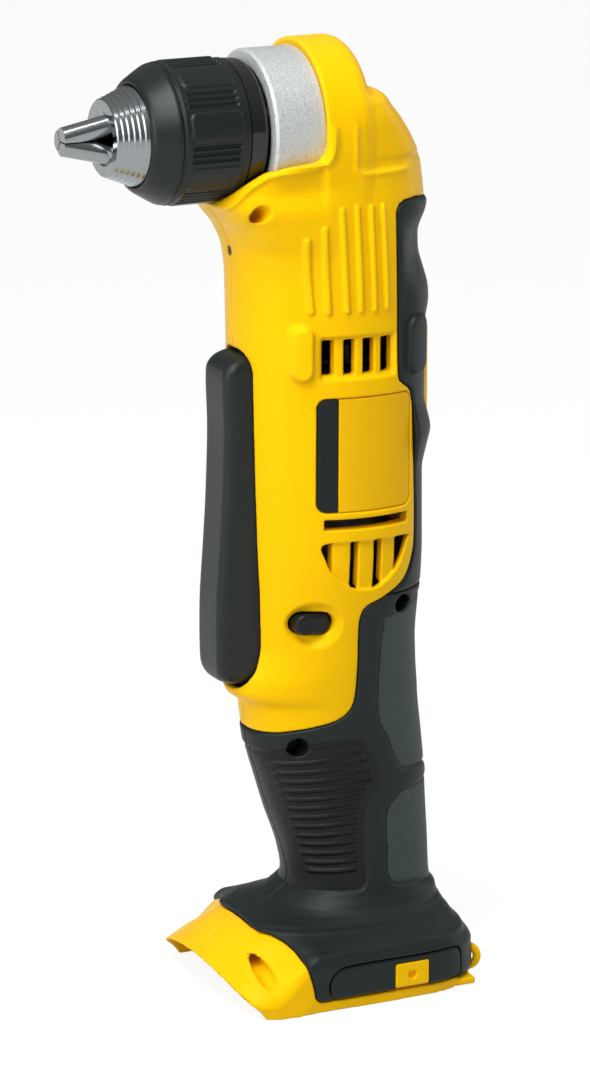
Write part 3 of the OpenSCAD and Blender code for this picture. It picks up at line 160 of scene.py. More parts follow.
def section(z):
    """The seven values of the cross section at each height."""
    i = np.clip(z, 0, TOP) / TICK
    k = i.astype(np.int32)
    f = (i - k).astype(np.float32)
    return COLUMNS[:, k] * (1 - f) + COLUMNS[:, k + 1] * f


def rmax(a, b, r):
    """What two shapes share, with the edge between them rounded to radius r."""
    return np.minimum(np.maximum(a, b), -r) + np.hypot(np.maximum(a + r, 0), np.maximum(b + r, 0))


def rmin(a, b, r):
    """Two shapes joined, with a fillet of radius r between them."""
    return -rmax(-a, -b, r)


def ease(t):
    """A soft step from 0 to 1."""
    t = np.clip(t, 0, 1)
    return t * t * (3 - 2 * t)


def droop(x, y, z):
    """How far the front of the foot sinks towards its sides, along the arch of its lip."""
    fall = LIP_R - np.sqrt(np.maximum(LIP_R ** 2 - y * y, 1))
    return fall * ease((-20 - x) / 16) * ease((25 - z) / 10)


def gauge(x, y, z):
    """How far out a point lies in its cross section, 1 on the outline, and its slopes along x and y."""
    front, back, half, square_f, square_b, widest, bow = section(z + droop(x, y, z))
    ahead = x < widest
    n = np.where(ahead, square_f, square_b)
    v = np.abs(y) / half
    reach = np.where(ahead, widest - front - bow * np.minimum(v, 1) ** 2, back - widest)
    u = np.abs(x - widest) / reach
    g = np.maximum(u ** n + v ** n, 1e-6) ** (1 / n)
    k = g ** (1 - n)
    return g, k * u ** (n - 1) / reach, k * v ** (n - 1) / half


def loft(x, y, z):
    """Distance to the lofted body, without the round head."""
    g, gx, gy = gauge(x, y, z)
    gz = (gauge(x, y, z + 0.25)[0] - g) / 0.25
    d = (g - 1) / np.sqrt(gx * gx + gy * gy + gz * gz + 1e-6)
    return np.maximum(rmax(d, z - TOP, 3), -z)


def body(x, y, z):
    """Distance to the outside of the body with its head and throat."""
    d = loft(x, y, z)
    up = np.maximum(z - CHUCK_Z, 0)
    side = np.hypot(y, up) - HEAD_R + 0.004 * np.maximum(CHUCK_Z - 6 - z, 0) ** 2
    drum = rmax(rmax(side, x - HEAD_BACK, 3.2), (side + x - HEAD_BACK + 2.6) * 0.707, 1.5)
    drum = rmax(drum, -COLLAR_BACK - x, 0.5)
    d = rmin(d, np.maximum(drum, CHUCK_Z - 34 - z), 2.4)
    around = np.hypot(y, z - CHUCK_Z)
    clear = np.where(x > -COLLAR_FRONT - 0.4, COLLAR_R + 0.3, 22.6)
    return rmax(d, -np.maximum(around - clear, x + COLLAR_BACK), 1.4)


# Outlines in the side view, kept as distances on a fine grid of x and z
CELL = 0.25
X0, Z0 = -52.0, -3.0
GX, GZ = np.meshgrid(np.arange(X0, 48, CELL), np.arange(Z0, 304, CELL), indexing="ij")


def sample(grid, x, z):
    """The value of a side view grid at each point."""
    i = np.clip((x - X0) / CELL, 0, grid.shape[0] - 1.01)
    k = np.clip((z - Z0) / CELL, 0, grid.shape[1] - 1.01)
    a = i.astype(np.int32)
    b = k.astype(np.int32)
    u = i - a
    v = k - b
    low = grid[a, b] * (1 - u) + grid[a + 1, b] * u
    high = grid[a, b + 1] * (1 - u) + grid[a + 1, b + 1] * u
    return low * (1 - v) + high * v


def curve(points, closed=True, n=6):
    """A smooth curve through points."""
    p = np.array(points, float)
    count = len(p)
    out = []
    for i in range(count if closed else count - 1):
        if closed:
            a, b, c, d = (p[(i + k) % count] for k in (-1, 0, 1, 2))
        else:
            a, b, c, d = (p[min(max(i + k, 0), count - 1)] for k in (-1, 0, 1, 2))
        for t in np.arange(n) / n:
            out.append(0.5 * (2 * b + (c - a) * t + (2 * a - 5 * b + 4 * c - d) * t * t
                              + (3 * b - a - 3 * c + d) * t ** 3))
    if not closed:
        out.append(p[-1])
    return [tuple(q) for q in out]


def polygon(points):
    """Signed distance to a closed outline, negative inside."""
    best = np.full(GX.shape, 1e9)
    inside = np.zeros(GX.shape, bool)
    for (ax, az), (bx, bz) in zip(points, points[1:] + points[:1]):
        ex, ez = bx - ax, bz - az
        wx, wz = GX - ax, GZ - az
        t = np.clip((wx * ex + wz * ez) / (ex * ex + ez * ez + 1e-12), 0, 1)
        best = np.minimum(best, (wx - ex * t) ** 2 + (wz - ez * t) ** 2)
        if ez:
            inside ^= ((az > GZ) != (bz > GZ)) & (GX < ex * (GZ - az) / ez + ax)
    return (np.where(inside, -1, 1) * np.sqrt(best)).astype(np.float32)


def line(ax, az, bx, bz):
    """Distance to a straight line between two points."""
    ex, ez = bx - ax, bz - az
    t = np.clip(((GX - ax) * ex + (GZ - az) * ez) / (ex * ex + ez * ez), 0, 1)
    return np.hypot(GX - ax - ex * t, GZ - az - ez * t)


def block(x0, x1, z0, z1, r):
    """Signed distance to a rectangle with rounded corners."""
    qx = np.abs(GX - (x0 + x1) / 2) - (x1 - x0) / 2 + r
    qz = np.abs(GZ - (z0 + z1) / 2) - (z1 - z0) / 2 + r
    return np.hypot(np.maximum(qx, 0), np.maximum(qz, 0)) + np.minimum(np.maximum(qx, qz), 0) - r


def bead(distance, radius, height):
    """Height of a rounded bead along a line."""
    return height * np.sqrt(np.clip(1 - (distance / radius) ** 2, 0, 1))


# Where the soft grip and the back strip meet the shell
BORDER = [(-32.2, 44), (-32.2, 22.6)]
BORDER += curve([(-32.2, 21.9), (-31, 21.8), (-29.8, 21.7), (-28.6, 21.3), (-27.4, 20.7), (-26.2, 19.8),
                 (-25.3, 18.6), (-24.9, 17.2), (-24.4, 15.4), (-23.7, 13.2), (-22.4, 8.3),
                 (-21.9, 5.4)], False)
BORDER += [(-21.2, 4.2), (-19.8, 3.5), (64, 3.3), (64, 250.2), (25, 250.9), (18, 252.3), (13, 252.1),
           (10.8, 251)]
BORDER += curve([(9.8, 249), (9.8, 235), (9.9, 225), (10.4, 200), (12, 196), (15.3, 193), (16.6, 186),
                 (17.4, 170), (18, 148), (16.8, 139.5), (13.4, 133), (6, 128.6), (0.6, 126.4), (-1.4, 123),
                 (-1.6, 118),
                 (-1.2, 108), (-1.4, 97), (-3, 92), (-7, 89), (-13, 87.4), (-19, 86.2), (-30, 84.6),
                 (-64, 83.6)], False)
BLACK = polygon(BORDER)

# Ribs, boss, pocket, dish and grille on the sides of the shell
RIBS = [((-19.9, 242.2), (-18.0, 220.3)), ((-14.6, 245.7), (-13.0, 220.2)), ((-9.0, 251.3), (-7.4, 220.3)),
        ((-4.0, 251.5), (-2.9, 220.3)), ((0.7, 251.4), (1.7, 220.2)), ((4.8, 251.4), (5.9, 220.4))]
VENT_X = [-12.3, -5.9, 0.3, 6.3]
VENTS = np.minimum.reduce([block(x - 1.9, x + 1.9, 200, 211.2, 0.5) for x in VENT_X])
POCKET = block(-15.4, 9.4, 198.6, 212.6, 1.2)
PILL = line(-20.6, 201.8, -20.5, 212.6) - 4.1
PLATE = block(-16.2, 15.7, 157, 193.4, 3.2)
SLOT = block(-13.8, 14.4, 151.7, 155.2, 0.5)
GRILLE = polygon(curve([(-13.6, 147.4), (-13.1, 142), (-10.8, 137.4), (-7, 134), (-1.3, 131.9), (3.4, 132.2),
                        (8.6, 135.3), (12, 140), (14.1, 145.4), (14.3, 147.6), (0, 147.9)]))
BARS = np.minimum.reduce([block(x0, x1, 120, 170, 0.3) for x0, x1 in
                          ((-20, -10.9), (-5.4, -2.7), (2.4, 5.2), (9.9, 22))])
DISH = np.hypot((GX + 15.4) / 8.8, (GZ - 121) / 8.2)
THICK = 2.4 * ease(-np.minimum.reduce([POCKET, SLOT - 2, GRILLE, 9 * DISH - 10]) / 1.0)
THICK = THICK + 2.4 * np.exp(-((GX + 22) / 14) ** 2 - ((GZ - 257) / 7) ** 2)
OPEN = np.minimum.reduce([VENTS, SLOT, np.maximum(GRILLE, BARS)]).astype(np.float32)
RIB_R = [1.15, 1.05, 1.0, 0.95, 0.85, 0.8]
RAISED = np.maximum.reduce([bead(line(*a, *b), r, 0.95) for (a, b), r in zip(RIBS, RIB_R)])
RAISED = np.maximum(RAISED, 2.4 * ease(-PILL / 2.2))
RAISED = np.maximum(RAISED, 0.6 * np.exp(-((GX + 37.6) / 2.5) ** 2 - ((GZ - 246.5) / 2.5) ** 2))
LIP = [(-11.6, 276), (-11.7, 270.5), (-12.6, 267.4), (-14.6, 265.4), (-17.6, 264.4), (-21.5, 264),
       (-27.4, 263.4), (-31.8, 262.4), (-35.5, 260), (-38.1, 257.4), (-40.3, 254.4), (-42, 252)]
LIP_LINE = np.minimum.reduce([line(*a, *b) for a, b in zip(LIP, LIP[1:])])
RAISED = RAISED + 1.3 * np.exp(-(LIP_LINE / 1.3) ** 2) * ease((280 - GZ) / 8)
RAISED = RAISED - 2.2 * np.exp(-((GX + 22) / 11) ** 2 - ((GZ - 257.5) / 4.2) ** 2)
STEP = np.minimum(line(-4.2, 275.5, -4.2, 264.6), line(-1.6, 261.2, 14, 261.6))
STEP = np.minimum(STEP, np.where((GX < -1.6) & (GZ < 264.6), np.abs(np.hypot(GX + 1, GZ - 264.4) - 3.2), 99))
SUNK = block(-4.2, 40, 261.4, 320, 3.2)
RAISED = RAISED + 0.4 * np.exp(-(STEP / 0.9) ** 2)
RAISED = RAISED - 0.9 * ease(-SUNK / 1.4) * ease((284 - GZ) / 16) * ease((18 - GX) / 12)
RAISED = RAISED - 1.3 * ease(-POCKET / 1.0)
RAISED = RAISED - 1.2 * ease(-PLATE / 0.4)
RAISED = RAISED - 1.1 * ease(-GRILLE / 0.7)
RAISED = RAISED - 2.2 * ease((1 - DISH) / 0.42)
RAISED = RAISED.astype(np.float32)

# Ridged panel and grained panels on the grip
PANEL = polygon(curve([(-44, 77), (-30, 77.6), (-21, 79.6), (-15, 81), (-7, 81.6), (0.4, 81.8), (2.6, 80.6),
                       (5.4, 75.6), (8, 70.8), (8.6, 67.6), (6.8, 64.2), (3.6, 59.4), (3, 55), (3.1, 45),
                       (3.6, 37), (2.6, 33.6), (0, 32.4), (-9, 32), (-16, 31), (-44, 31)]))
RIDGES = [((-24.8, 74.8), (1.4, 77.1)), ((-23.8, 71.7), (2.7, 73.9)), ((-22.8, 68.7), (4.2, 70.7)),
          ((-21.8, 65.7), (5.0, 67.6)), ((-20.7, 62.7), (2.8, 64.7)), ((-19.7, 59.7), (0.9, 61.6)),
          ((-18.6, 56.7), (0.0, 58.5)), ((-17.5, 53.6), (-0.2, 55.2)), ((-16.3, 50.5), (-0.3, 51.9)),
          ((-15.2, 47.5), (-0.3, 48.7)), ((-14.2, 44.4), (-0.2, 45.5)), ((-13.3, 41.3), (-0.2, 42.3)),
          ((-12.6, 38.4), (-0.2, 39.4))]
GRAIN = np.minimum(
    polygon(curve([(6.8, 118), (6.4, 100), (7.3, 88), (10.6, 81.4), (13.8, 73.6), (16.8, 70), (24, 69.6),
                   (44, 69.6), (44, 124), (10, 122.6)])),
    polygon(curve([(44, 63.4), (26, 63.2), (16.3, 62.6), (12.6, 59.8), (10.4, 55.6), (10.6, 47), (10.9, 37),
                   (13, 33), (20, 32), (44, 31.6)])))
GRIP = np.maximum.reduce([bead(line(*a, *b), 0.75, 0.6) for a, b in RIDGES])
GRIP = GRIP - 0.5 * ease(-PANEL / 0.8) - 0.7 * np.exp(-(PANEL / 0.6) ** 2)
GRIP = GRIP - 0.3 * ease(-GRAIN / 0.8) - 0.8 * np.exp(-(GRAIN / 0.6) ** 2)
GRIP = GRIP.astype(np.float32)
PAD = polygon(curve([(-16.6, 5.4), (-17, 9.6), (-14.4, 13.6), (-8, 14.6), (10, 14.6), (26, 14.4),
                     (29.4, 12.4), (29.6, 7), (27.6, 4.2), (10, 3.9), (-8, 3.9), (-14.4, 4.0)]))
CLIP = block(5.4, 17.2, 4.4, 12.4, 0.8)

# Screws through the left half: x, height, depth of the seat from the seam, under the soft grip or not,
# and how far the well leans along x and z from the seat to the surface
SCREWS = [(-35, 248, 6, False, 3.0, 5.4), (14, 125, 10, True, 0, 0), (-18.3, 80.6, 5, True, 0, 0),
          (-35.5, 16.4, 6, False, 0, -4.4)]
WELL_R = 3.0
BARE_R = 2.5
LEAN = 20.0
BUTTON_X, BUTTON_Z = -15.4, 121.3
BUTTON_HALF = 2.7
BUTTON_R = 3.3
BUTTON_HOLE_R = 3.8
LOOP = (36.5, -24, 6.4)
LOOP_R = 3.4
LOOP_WIRE = 1.3


def box3(x, y, z, low, high):
    """Distance to a box."""
    dx = np.maximum(low[0] - x, x - high[0])
    dy = np.maximum(low[1] - y, y - high[1])
    dz = np.maximum(low[2] - z, z - high[2])
    return np.maximum(np.maximum(dx, dy), dz)


def from_axis(x, y, z, screw):
    """Distance from the axis of a screw's well; y is measured from the seam."""
    sx, sz, seat, _, lean_x, lean_z = screw
    out = np.maximum(y - seat - 3, 0) / LEAN
    return np.hypot(x - sx - lean_x * out, z - sz - lean_z * out)


def screw_wells(x, y, z, lining=0.0):
    """Wells over the screw heads, with room for a lining in those under the grip."""
    wells = np.full(x.shape, 1e3, np.float32)
    for screw in SCREWS:
        r = WELL_R + lining if screw[3] else BARE_R - 0.8 * ease((screw[2] + 8 - y) / 4)
        wells = np.minimum(wells, np.maximum(from_axis(x, y, z, screw) - r, screw[2] - y))
    return wells


def hang_loop(x, y, z):
    """The loop at the back of the foot on the left side."""
    turn = math.radians(27)
    dx, dy, dz = x - LOOP[0], y - LOOP[1], z - LOOP[2]
    out = dx * math.cos(turn) - dy * math.sin(turn)
    across = dx * math.sin(turn) + dy * math.cos(turn)
    return np.maximum(np.hypot(np.hypot(out, dz) - LOOP_R, across) - LOOP_WIRE, -1 - out)


# How far the back strip stands out or in along its height
STRIP_Z = np.arange(120, 262, 0.5)
STRIP_OUT = np.interp(STRIP_Z, [128, 146, 167, 173.5, 179, 183.5, 188, 214,
                                219, 224, 229, 234, 241, 245, 248, 256],
                      [0, -0.4, -0.6, 0.9, 2.2, 1.2, 0, 0.2, 1.1, 0.8, -0.7, -2.2, -2.4, -0.8, 0.5, 0.5])
STRIP_OUT = np.convolve(np.pad(STRIP_OUT, 6, "edge"), np.hanning(15)[1:-1] / np.hanning(15).sum(), "valid")
STRIP_PILL = line(18.4, 201.8, 18.4, 212.4) - 4.9


def bulge(x, z):
    """How far the back strip stands out, fading towards its front edge."""
    return np.interp(z, STRIP_Z, STRIP_OUT).astype(np.float32) * ease((x - 11) / 8)


def dark(x, y, z):
    """Below zero where the soft grip and the strip lie, with a window round the selector left out."""
    window = np.maximum(np.maximum(np.abs(y) - 15.5, np.abs(z - SELECTOR_Z) - 21), 17 - x)
    return np.maximum(sample(BLACK, x, z), -window)


def seam(base, y):
    """The cut between the halves: a fine groove at the surface, closed a little way below it."""
    return SEAM - (SEAM - SEAM_SHUT) * ease((-base - 0.5) / 0.6) - y


def shell_field(side):
    """The yellow half on one side: -1 is the left half, with the screw wells and the hang loop."""
    def field(x, y, z):
        real_y = y
        y = y * side
        base = body(x, y, z)
        round_selector = ease((15 - y) / 2) * ease((19 - np.abs(z - SELECTOR_Z)) / 3) * ease((x - 18) / 3)
        outside = base - sample(RAISED, x, z) - 1.4 * round_selector
        black = dark(x, y, z)
        inward = np.maximum(-bulge(x, z), 0)
        under_grip = (1.8 + inward) * ease(-black / 1.5 + 0.5)
        hollow = np.maximum(base + WALL + sample(THICK, x, z) + under_grip, LIP_Z + 5 - z)
        if side < 0:
            for screw in SCREWS:
                hollow = np.maximum(hollow, BOSS_R - from_axis(x, y, z, screw))
        d = np.maximum(outside, -hollow)
        cover = np.where(z > STRIP_FROM, STRIP_SKIN + inward, SKIN) + 0.1
        d = rmax(d, -rmax(black - 0.12, -(base + cover), 0.2), 0.6)
        d = rmax(d, sample(OPEN, x, z) * -1 + np.where(y > 8, 0, -50), 0.35)
        roof = np.hypot(y, z - LIP_Z + LIP_R) - LIP_R
        d = rmax(d, -np.maximum(rmax(roof, y - BAY_HALF, 2.5), x - BAY_BACK), 0.4)
        d = np.minimum(d, box3(x, y, z, *RAIL))
        d = np.maximum(d, -box3(x, y, z, *TERMINAL_ROOM))
        ends = np.maximum(PADDLE_LOW - 1.2 - z, z - PADDLE_HIGH - 0.3)
        d = rmax(d, -np.maximum(rmax(y - PADDLE_HALF - 0.3, ends, 7), x - PADDLE_DEEP), 0.7)
        d = np.maximum(d, -box3(x, y, z, *SELECTOR_SLOT))
        d = rmax(d, -box3(x, y, z, *SELECTOR_WELL), 0.3)
        pill = np.hypot(np.maximum(np.abs(x - BUTTON_X) - BUTTON_HALF, 0), z - BUTTON_Z) - BUTTON_HOLE_R
        d = rmax(d, -np.maximum(pill, 10 - y), 0.4)
        d = np.maximum(d, -np.maximum(np.hypot(y, z - LAMP_Z) - LAMP_R, x))
        if side < 0:
            d = rmax(d, -screw_wells(x, y, z, 1.0), 0.5)
            d = rmin(d, hang_loop(x, real_y, z), 0.5)
        return rmax(d, seam(base, y), 0.25)
    return field


def grip_field(side):
    """The soft grip of one half, over the handle and the foot."""
    def field(x, y, z):
        real_y = y
        y = y * side
        base = body(x, y, z)
        proud = 0.3 + 0.9 * ease((32 - z) / 4) * ease((z - 8) / 8)
        outside = base - sample(GRIP, x, z) - proud
        edge = np.maximum(sample(BLACK, x, z) + 0.1, z - GRIP_TOP)
        d = rmax(outside, edge, 1.0)
        d = np.maximum(d, -(base + SKIN + 5 * ease((35 - z) / 4)))
        d = rmax(d, -np.maximum(sample(PAD, x, z) - 0.15, 24 - y), 0.5)
        if side < 0:
            for screw in SCREWS:
                if screw[3]:
                    tube = np.maximum(from_axis(x, y, z, screw) - WELL_R - 0.9, screw[2] + 2 - y)
                    d = np.minimum(d, np.maximum(tube, base + 0.4))
            d = rmax(d, -screw_wells(x, y, z), 0.8)
            d = np.maximum(d, 0.3 - hang_loop(x, real_y, z))
        return rmax(d, seam(base, y), 0.3)
    return field


def strip_field(x, y, z):
    """The black strip down the back of the body, both sides in one."""
    base = body(x, y, z)
    edge = np.maximum(dark(x, y, z) + 0.1, STRIP_FOOT - z)
    out = bulge(x, z)
    swell = 1.7 * ease(-sample(STRIP_PILL, x, z) / 1.5) * ease((np.abs(y) - 4) / 8)
    d = rmax(base - 0.4 - out - swell, edge, 1.3)
    d = np.maximum(d, -(base + STRIP_SKIN + np.maximum(-out, 0)))
    return rmax(d, -box3(x, np.abs(y), z, *SELECTOR_WELL), 0.3)


def plate(x, y, z, cut):
    """A plate let into each side, cut off where the last value is above zero."""
    base = body(x, y, z)
    d = rmax(base + 0.25, sample(PLATE, x, z) + 0.45, 0.35)
    return np.maximum(np.maximum(d, -(base + 1.4)), np.maximum(cut, 8 - np.abs(y)))


def plate_field(x, y, z):
    """The two bare plates, one on each side."""
    return plate(x, y, z, -9.6 - x)


def band_field(x, y, z):
    """The black band along the front edge of each plate."""
    return plate(x, y, z, x + 9.65)


def pad_field(x, y, z):
    """Raised pads on both sides of the foot."""
    base = body(x, y, z)
    d = rmax(base - 0.7, sample(PAD, x, z) + 0.2, 0.8)
    d = np.maximum(d, -(base + 1.0))
    return rmax(d, -np.maximum(sample(CLIP, x, z) - 0.15, 20 - np.abs(y)), 0.2)


def clip_field(x, y, z):
    """Square catches in the pads, with a round hole in each."""
    base = body(x, y, z)
    d = rmax(base - 0.75, sample(CLIP, x, z) + 0.05, 0.4)
    d = np.maximum(np.maximum(d, -(base + 1.0)), 20 - np.abs(y))
    hole = np.maximum(np.hypot(x - 11.3, z - 8.2) - 1.4, -(base + 0.4))
    return rmax(d, -hole, 0.3)


# Outline of the paddle: height above its lower end, depth behind its foremost point
PADDLE_FRONT = -42
PADDLE = np.array(curve([(0, 5.4), (0.8, 2.8), (4, 0.7), (11, 0), (27, 0.1), (43, 1.2), (59, 2.2), (80, 2.9),
                         (97, 2.5), (102, 3.6), (104.8, 6), (106, 9)], False))


def paddle_field(x, y, z):
    """The long paddle trigger, hollow behind."""
    heights = PADDLE_LOW + PADDLE[:, 0]
    depths = PADDLE[:, 1] + PADDLE_FRONT
    edge = np.interp(z, heights, depths)
    steep = (np.interp(z + 0.2, heights, depths) - edge) / 0.2
    front = (edge - x) / np.sqrt(1 + steep * steep)
    ends = np.maximum(PADDLE_LOW - z, z - PADDLE_HIGH)
    d = rmax(front, rmax(np.abs(y) - PADDLE_HALF, ends, 6.8), 3.4)
    d = np.maximum(d, x + 27.2)
    return np.maximum(d, -box3(x, y, z, (-36, -7.2, 105), (0, 7.2, 192)))


def button_field(x, y, z):
    """The direction button: a pill that shows on both sides, on the bar that joins them."""
    across = np.abs(y)
    pill = np.hypot(np.maximum(np.abs(x - BUTTON_X) - BUTTON_HALF, 0), z - BUTTON_Z) - BUTTON_R
    crown = 0.02 * (x - BUTTON_X) ** 2
    ends = np.maximum(rmax(pill, across - 20.6 + crown, 1.2), 13.4 - across)
    bar = box3(x, across, z, (-18.8, -1, 119.7), (-12.6, 20, 123.9))
    peg = box3(x, across, z, (-18.6, -1, 100), (-13.6, 1.75, 140))
    return np.maximum(np.minimum(ends, bar), -peg)


def selector_field(x, y, z):
    """The speed selector: a pill with cross ridges on the back of the body."""
    up = z - SELECTOR_PILL_Z
    long = np.hypot(y, np.maximum(np.abs(up) - 6.5, 0)) - 6.5
    ridges = 0.35 * np.cos(up * 2 * math.pi / 2.6) * ease((7.2 - np.abs(up)) / 1.0)
    d = rmax(long, x - 29.1 - ridges * ease((5.4 - np.abs(y)) / 1.0), 0.9)
    d = np.maximum(d, 26.8 - x)
    stem = box3(x, y, z, (18.5, -3.7, 195.1), (27.5, 3.7, 204.9))
    return np.minimum(d, stem)


# From fields to meshes and pieces
POOL = ThreadPoolExecutor(4)


def values(field, points):
    """The field at many points, worked out in parts side by side."""
    parts = np.array_split(np.asarray(points, np.float32), max(1, len(points) // 120000))
    return np.concatenate(list(POOL.map(lambda p: field(p[:, 0], p[:, 1], p[:, 2]), parts)))


def surface(field, low, high, step):
    """Quads on the zero level of a field: one vertex in each small cell that it crosses."""
    many = 8
    reach = 2.0
    size = many * step
    low = np.array(low, float)
    count = np.ceil((np.array(high) - low) / size).astype(int)
    cells = np.stack(np.meshgrid(*[np.arange(c) for c in count], indexing="ij"), -1).reshape(-1, 3)
    near = np.abs(values(field, low + (cells + 0.5) * size)) < size * reach
    cells = cells[near]
    ticks = np.stack(np.meshgrid(*[np.arange(many + 1)] * 3, indexing="ij"), -1).reshape(-1, 3)
    where = (cells[:, None] * many + ticks[None]).reshape(-1, 3)
    v = values(field, low + where * step).reshape(-1, many + 1, many + 1, many + 1)
    corners = [(i, j, k) for i in (0, 1) for j in (0, 1) for k in (0, 1)]
    parts = [v[:, i:many + i, j:many + j, k:many + k] for i, j, k in corners]
    inside = sum((p < 0).astype(np.int8) for p in parts)
    b, i, j, k = np.nonzero((inside > 0) & (inside < 8))
    value = np.stack([p[b, i, j, k] for p in parts], -1)
    index = cells[b] * many + np.stack([i, j, k], -1)
    total = np.zeros((len(b), 3))
    hits = np.zeros((len(b), 1))
    offset = np.array(corners, float)
    for m in range(8):
        for n in range(m + 1, 8):
            if np.abs(offset[m] - offset[n]).sum() != 1:
                continue
            cross = (value[:, m] < 0) != (value[:, n] < 0)
            span = np.where(cross, value[:, m] - value[:, n], 1)
            t = (value[:, m] / span)[:, None]
            total += np.where(cross[:, None], offset[m] + (offset[n] - offset[m]) * t, 0)
            hits += cross[:, None]
    points = low + (index + total / hits) * step
    wide = np.array([(count[1] * many + 2) * (count[2] * many + 2), count[2] * many + 2, 1], np.int64)
    key = index @ wide
    order = np.argsort(key)
    ranked = key[order]
    quads = []
    for axis, end in ((0, 4), (1, 2), (2, 1)):
        cross = (value[:, 0] < 0) != (value[:, end] < 0)
        out = value[cross, 0] < 0
        one, two = [(1, 2), (2, 0), (0, 1)][axis]
        ring = []
        for back in ((0, 0), (1, 0), (1, 1), (0, 1)):
            want = key[cross] - back[0] * wide[one] - back[1] * wide[two]
            found = np.minimum(np.searchsorted(ranked, want), len(ranked) - 1)
            ring.append(np.where(ranked[found] == want, order[found], -1))
        ring = np.stack(ring, -1)
        ring = np.where(out[:, None], ring, ring[:, ::-1])
        quads.append(ring[(ring >= 0).all(1)])
    for _ in range(2):
        f = values(field, points)
        slope = np.empty_like(points)
        for axis in range(3):
            shift = np.zeros(3)
            shift[axis] = 0.12 * step
            slope[:, axis] = (values(field, points + shift) - values(field, points - shift)) / (0.24 * step)
        move = -f[:, None] * slope / np.maximum((slope ** 2).sum(1), 0.2)[:, None]
        length = np.sqrt((move ** 2).sum(1))[:, None]
        points = points + move * np.minimum(1, 0.5 * step / np.maximum(length, 1e-9))
    return without_specks(points, np.concatenate(quads))


def without_specks(points, faces, least=80):
    """Leave out loose bits of a mesh that have only a few faces."""
    label = np.arange(len(points))
    while True:
        new = label.copy()
        np.minimum.at(new, faces.ravel(), np.repeat(label[faces].min(1), 4))
        new = new[new]
        if (new == label).all():
            break
        label = new
    root = label[faces[:, 0]]
    faces = faces[np.bincount(root, minlength=len(points))[root] >= least]
    used, where = np.unique(faces, return_inverse=True)
    return points[used], where.reshape(-1, 4)


def add_piece(name, points, faces, body_name, slot, nodes, *materials, smooth=True):
    """A piece of the object from points in millimetres."""
    mesh = bpy.data.meshes.new(name)
    mesh.from_pydata(np.asarray(points) * MM, [], faces.tolist() if hasattr(faces, "tolist") else faces)
    mesh.validate()
    if smooth:
        mesh.polygons.foreach_set("use_smooth", np.ones(len(mesh.polygons), bool))
    for m in materials:
        mesh.materials.append(m)
    piece = bpy.data.objects.new(name, mesh)
    bpy.context.scene.collection.objects.link(piece)
    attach(piece, body_name)
    if nodes:
        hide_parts(*nodes)
    return piece


def centres(piece):
    """The middle of each face in millimetres."""
    c = np.empty(len(piece.data.polygons) * 3)
    piece.data.polygons.foreach_get("center", c)
    return c.reshape(-1, 3) / MM


def paint(piece, *chosen):
    """The second, third and later materials of the piece on the faces chosen for each."""
    which = np.zeros(len(piece.data.polygons), np.int32)
    for index, faces in enumerate(chosen, 1):
        which[faces] = index
    piece.data.polygons.foreach_set("material_index", which)


def turned(outer, inner, relief, steps=720):
    """A ring about the chuck axis: an outer and an inner profile of [distance along the axis, radius]."""
    a = np.arange(steps) * 2 * math.pi / steps
    o = np.array(outer, float)
    far = np.broadcast_to(o[:, 1], (steps, len(o))) + relief(o[None, :, 0], a[:, None], o[None, :, 1])
    i = np.array(inner, float)
    radius = np.concatenate([far, np.broadcast_to(i[:, 1], (steps, len(i)))], 1)
    along = np.concatenate([o[:, 0], i[:, 0]])
    n = len(along)
    ring = np.stack([np.broadcast_to(-along, (steps, n)), radius * np.sin(a)[:, None],
                     CHUCK_Z + radius * np.cos(a)[:, None]], -1)
    j, k = np.meshgrid(np.arange(steps), np.arange(n), indexing="ij")
    j2, k2 = (j + 1) % steps, (k + 1) % n
    faces = np.stack([j * n + k, j2 * n + k, j2 * n + k2, j * n + k2], -1).reshape(-1, 4)
    return ring.reshape(-1, 3), faces


# Profiles of the chuck sleeve: distance along the axis, radius
SLEEVE = [(36.4, 21.0), (36.55, 21.4), (36.9, 21.72), (37.5, 21.9), (55.6, 21.9), (56.6, 21.8), (57.2, 21.6),
          (57.45, 21.3), (57.55, 20.9), (58.25, 20.9), (58.35, 21.2), (58.7, 21.3), (59.4, 21.1),
          (60.2, 20.7), (61.5, 19.95), (63.5, 18.75), (65.2, 17.7), (66.0, 17.1), (66.4, 16.5), (66.5, 15.9)]
SLEEVE_S = np.unique(np.concatenate([[s for s, _ in SLEEVE], np.arange(37.75, 55.6, 0.25)]))
SLEEVE_OUT = np.stack([SLEEVE_S, np.interp(SLEEVE_S, *np.array(SLEEVE).T)], 1)
SLEEVE_IN = [(66.5, 15.5), (62.5, 15.5), (62.5, 17.3), (56.2, 17.3), (56.2, 18), (38.2, 18), (38.2, 18.8),
             (36.4, 18.8)]


def sleeve_relief(s, a, r):
    """Eight raised panels with three grooves between each two."""
    psi = -np.degrees(a)
    t = np.radians((psi - 32 + 22.5) % 45 - 22.5) * r
    qs = np.abs(s - 47.2) - 8.2 + 1.8
    qt = np.abs(t) - 4.3 + 1.8
    d = np.hypot(np.maximum(qs, 0), np.maximum(qt, 0)) + np.minimum(np.maximum(qs, qt), 0) - 1.8
    out = 0.5 * ease(0.5 - d / 0.7)
    for turn in (-5.5, 0, 5.5):
        t = np.radians((psi - 9.5 - turn + 22.5) % 45 - 22.5) * r
        d = np.hypot(np.maximum(np.abs(s - 47.4) - 7.4, 0), t)
        out = out - 0.8 * np.sqrt(np.clip(1 - (d / 0.75) ** 2, 0, 1))
    return out - 0.5 * ease((57.2 - s) / 0.8) * ease((s - 36.4) / 0.8)


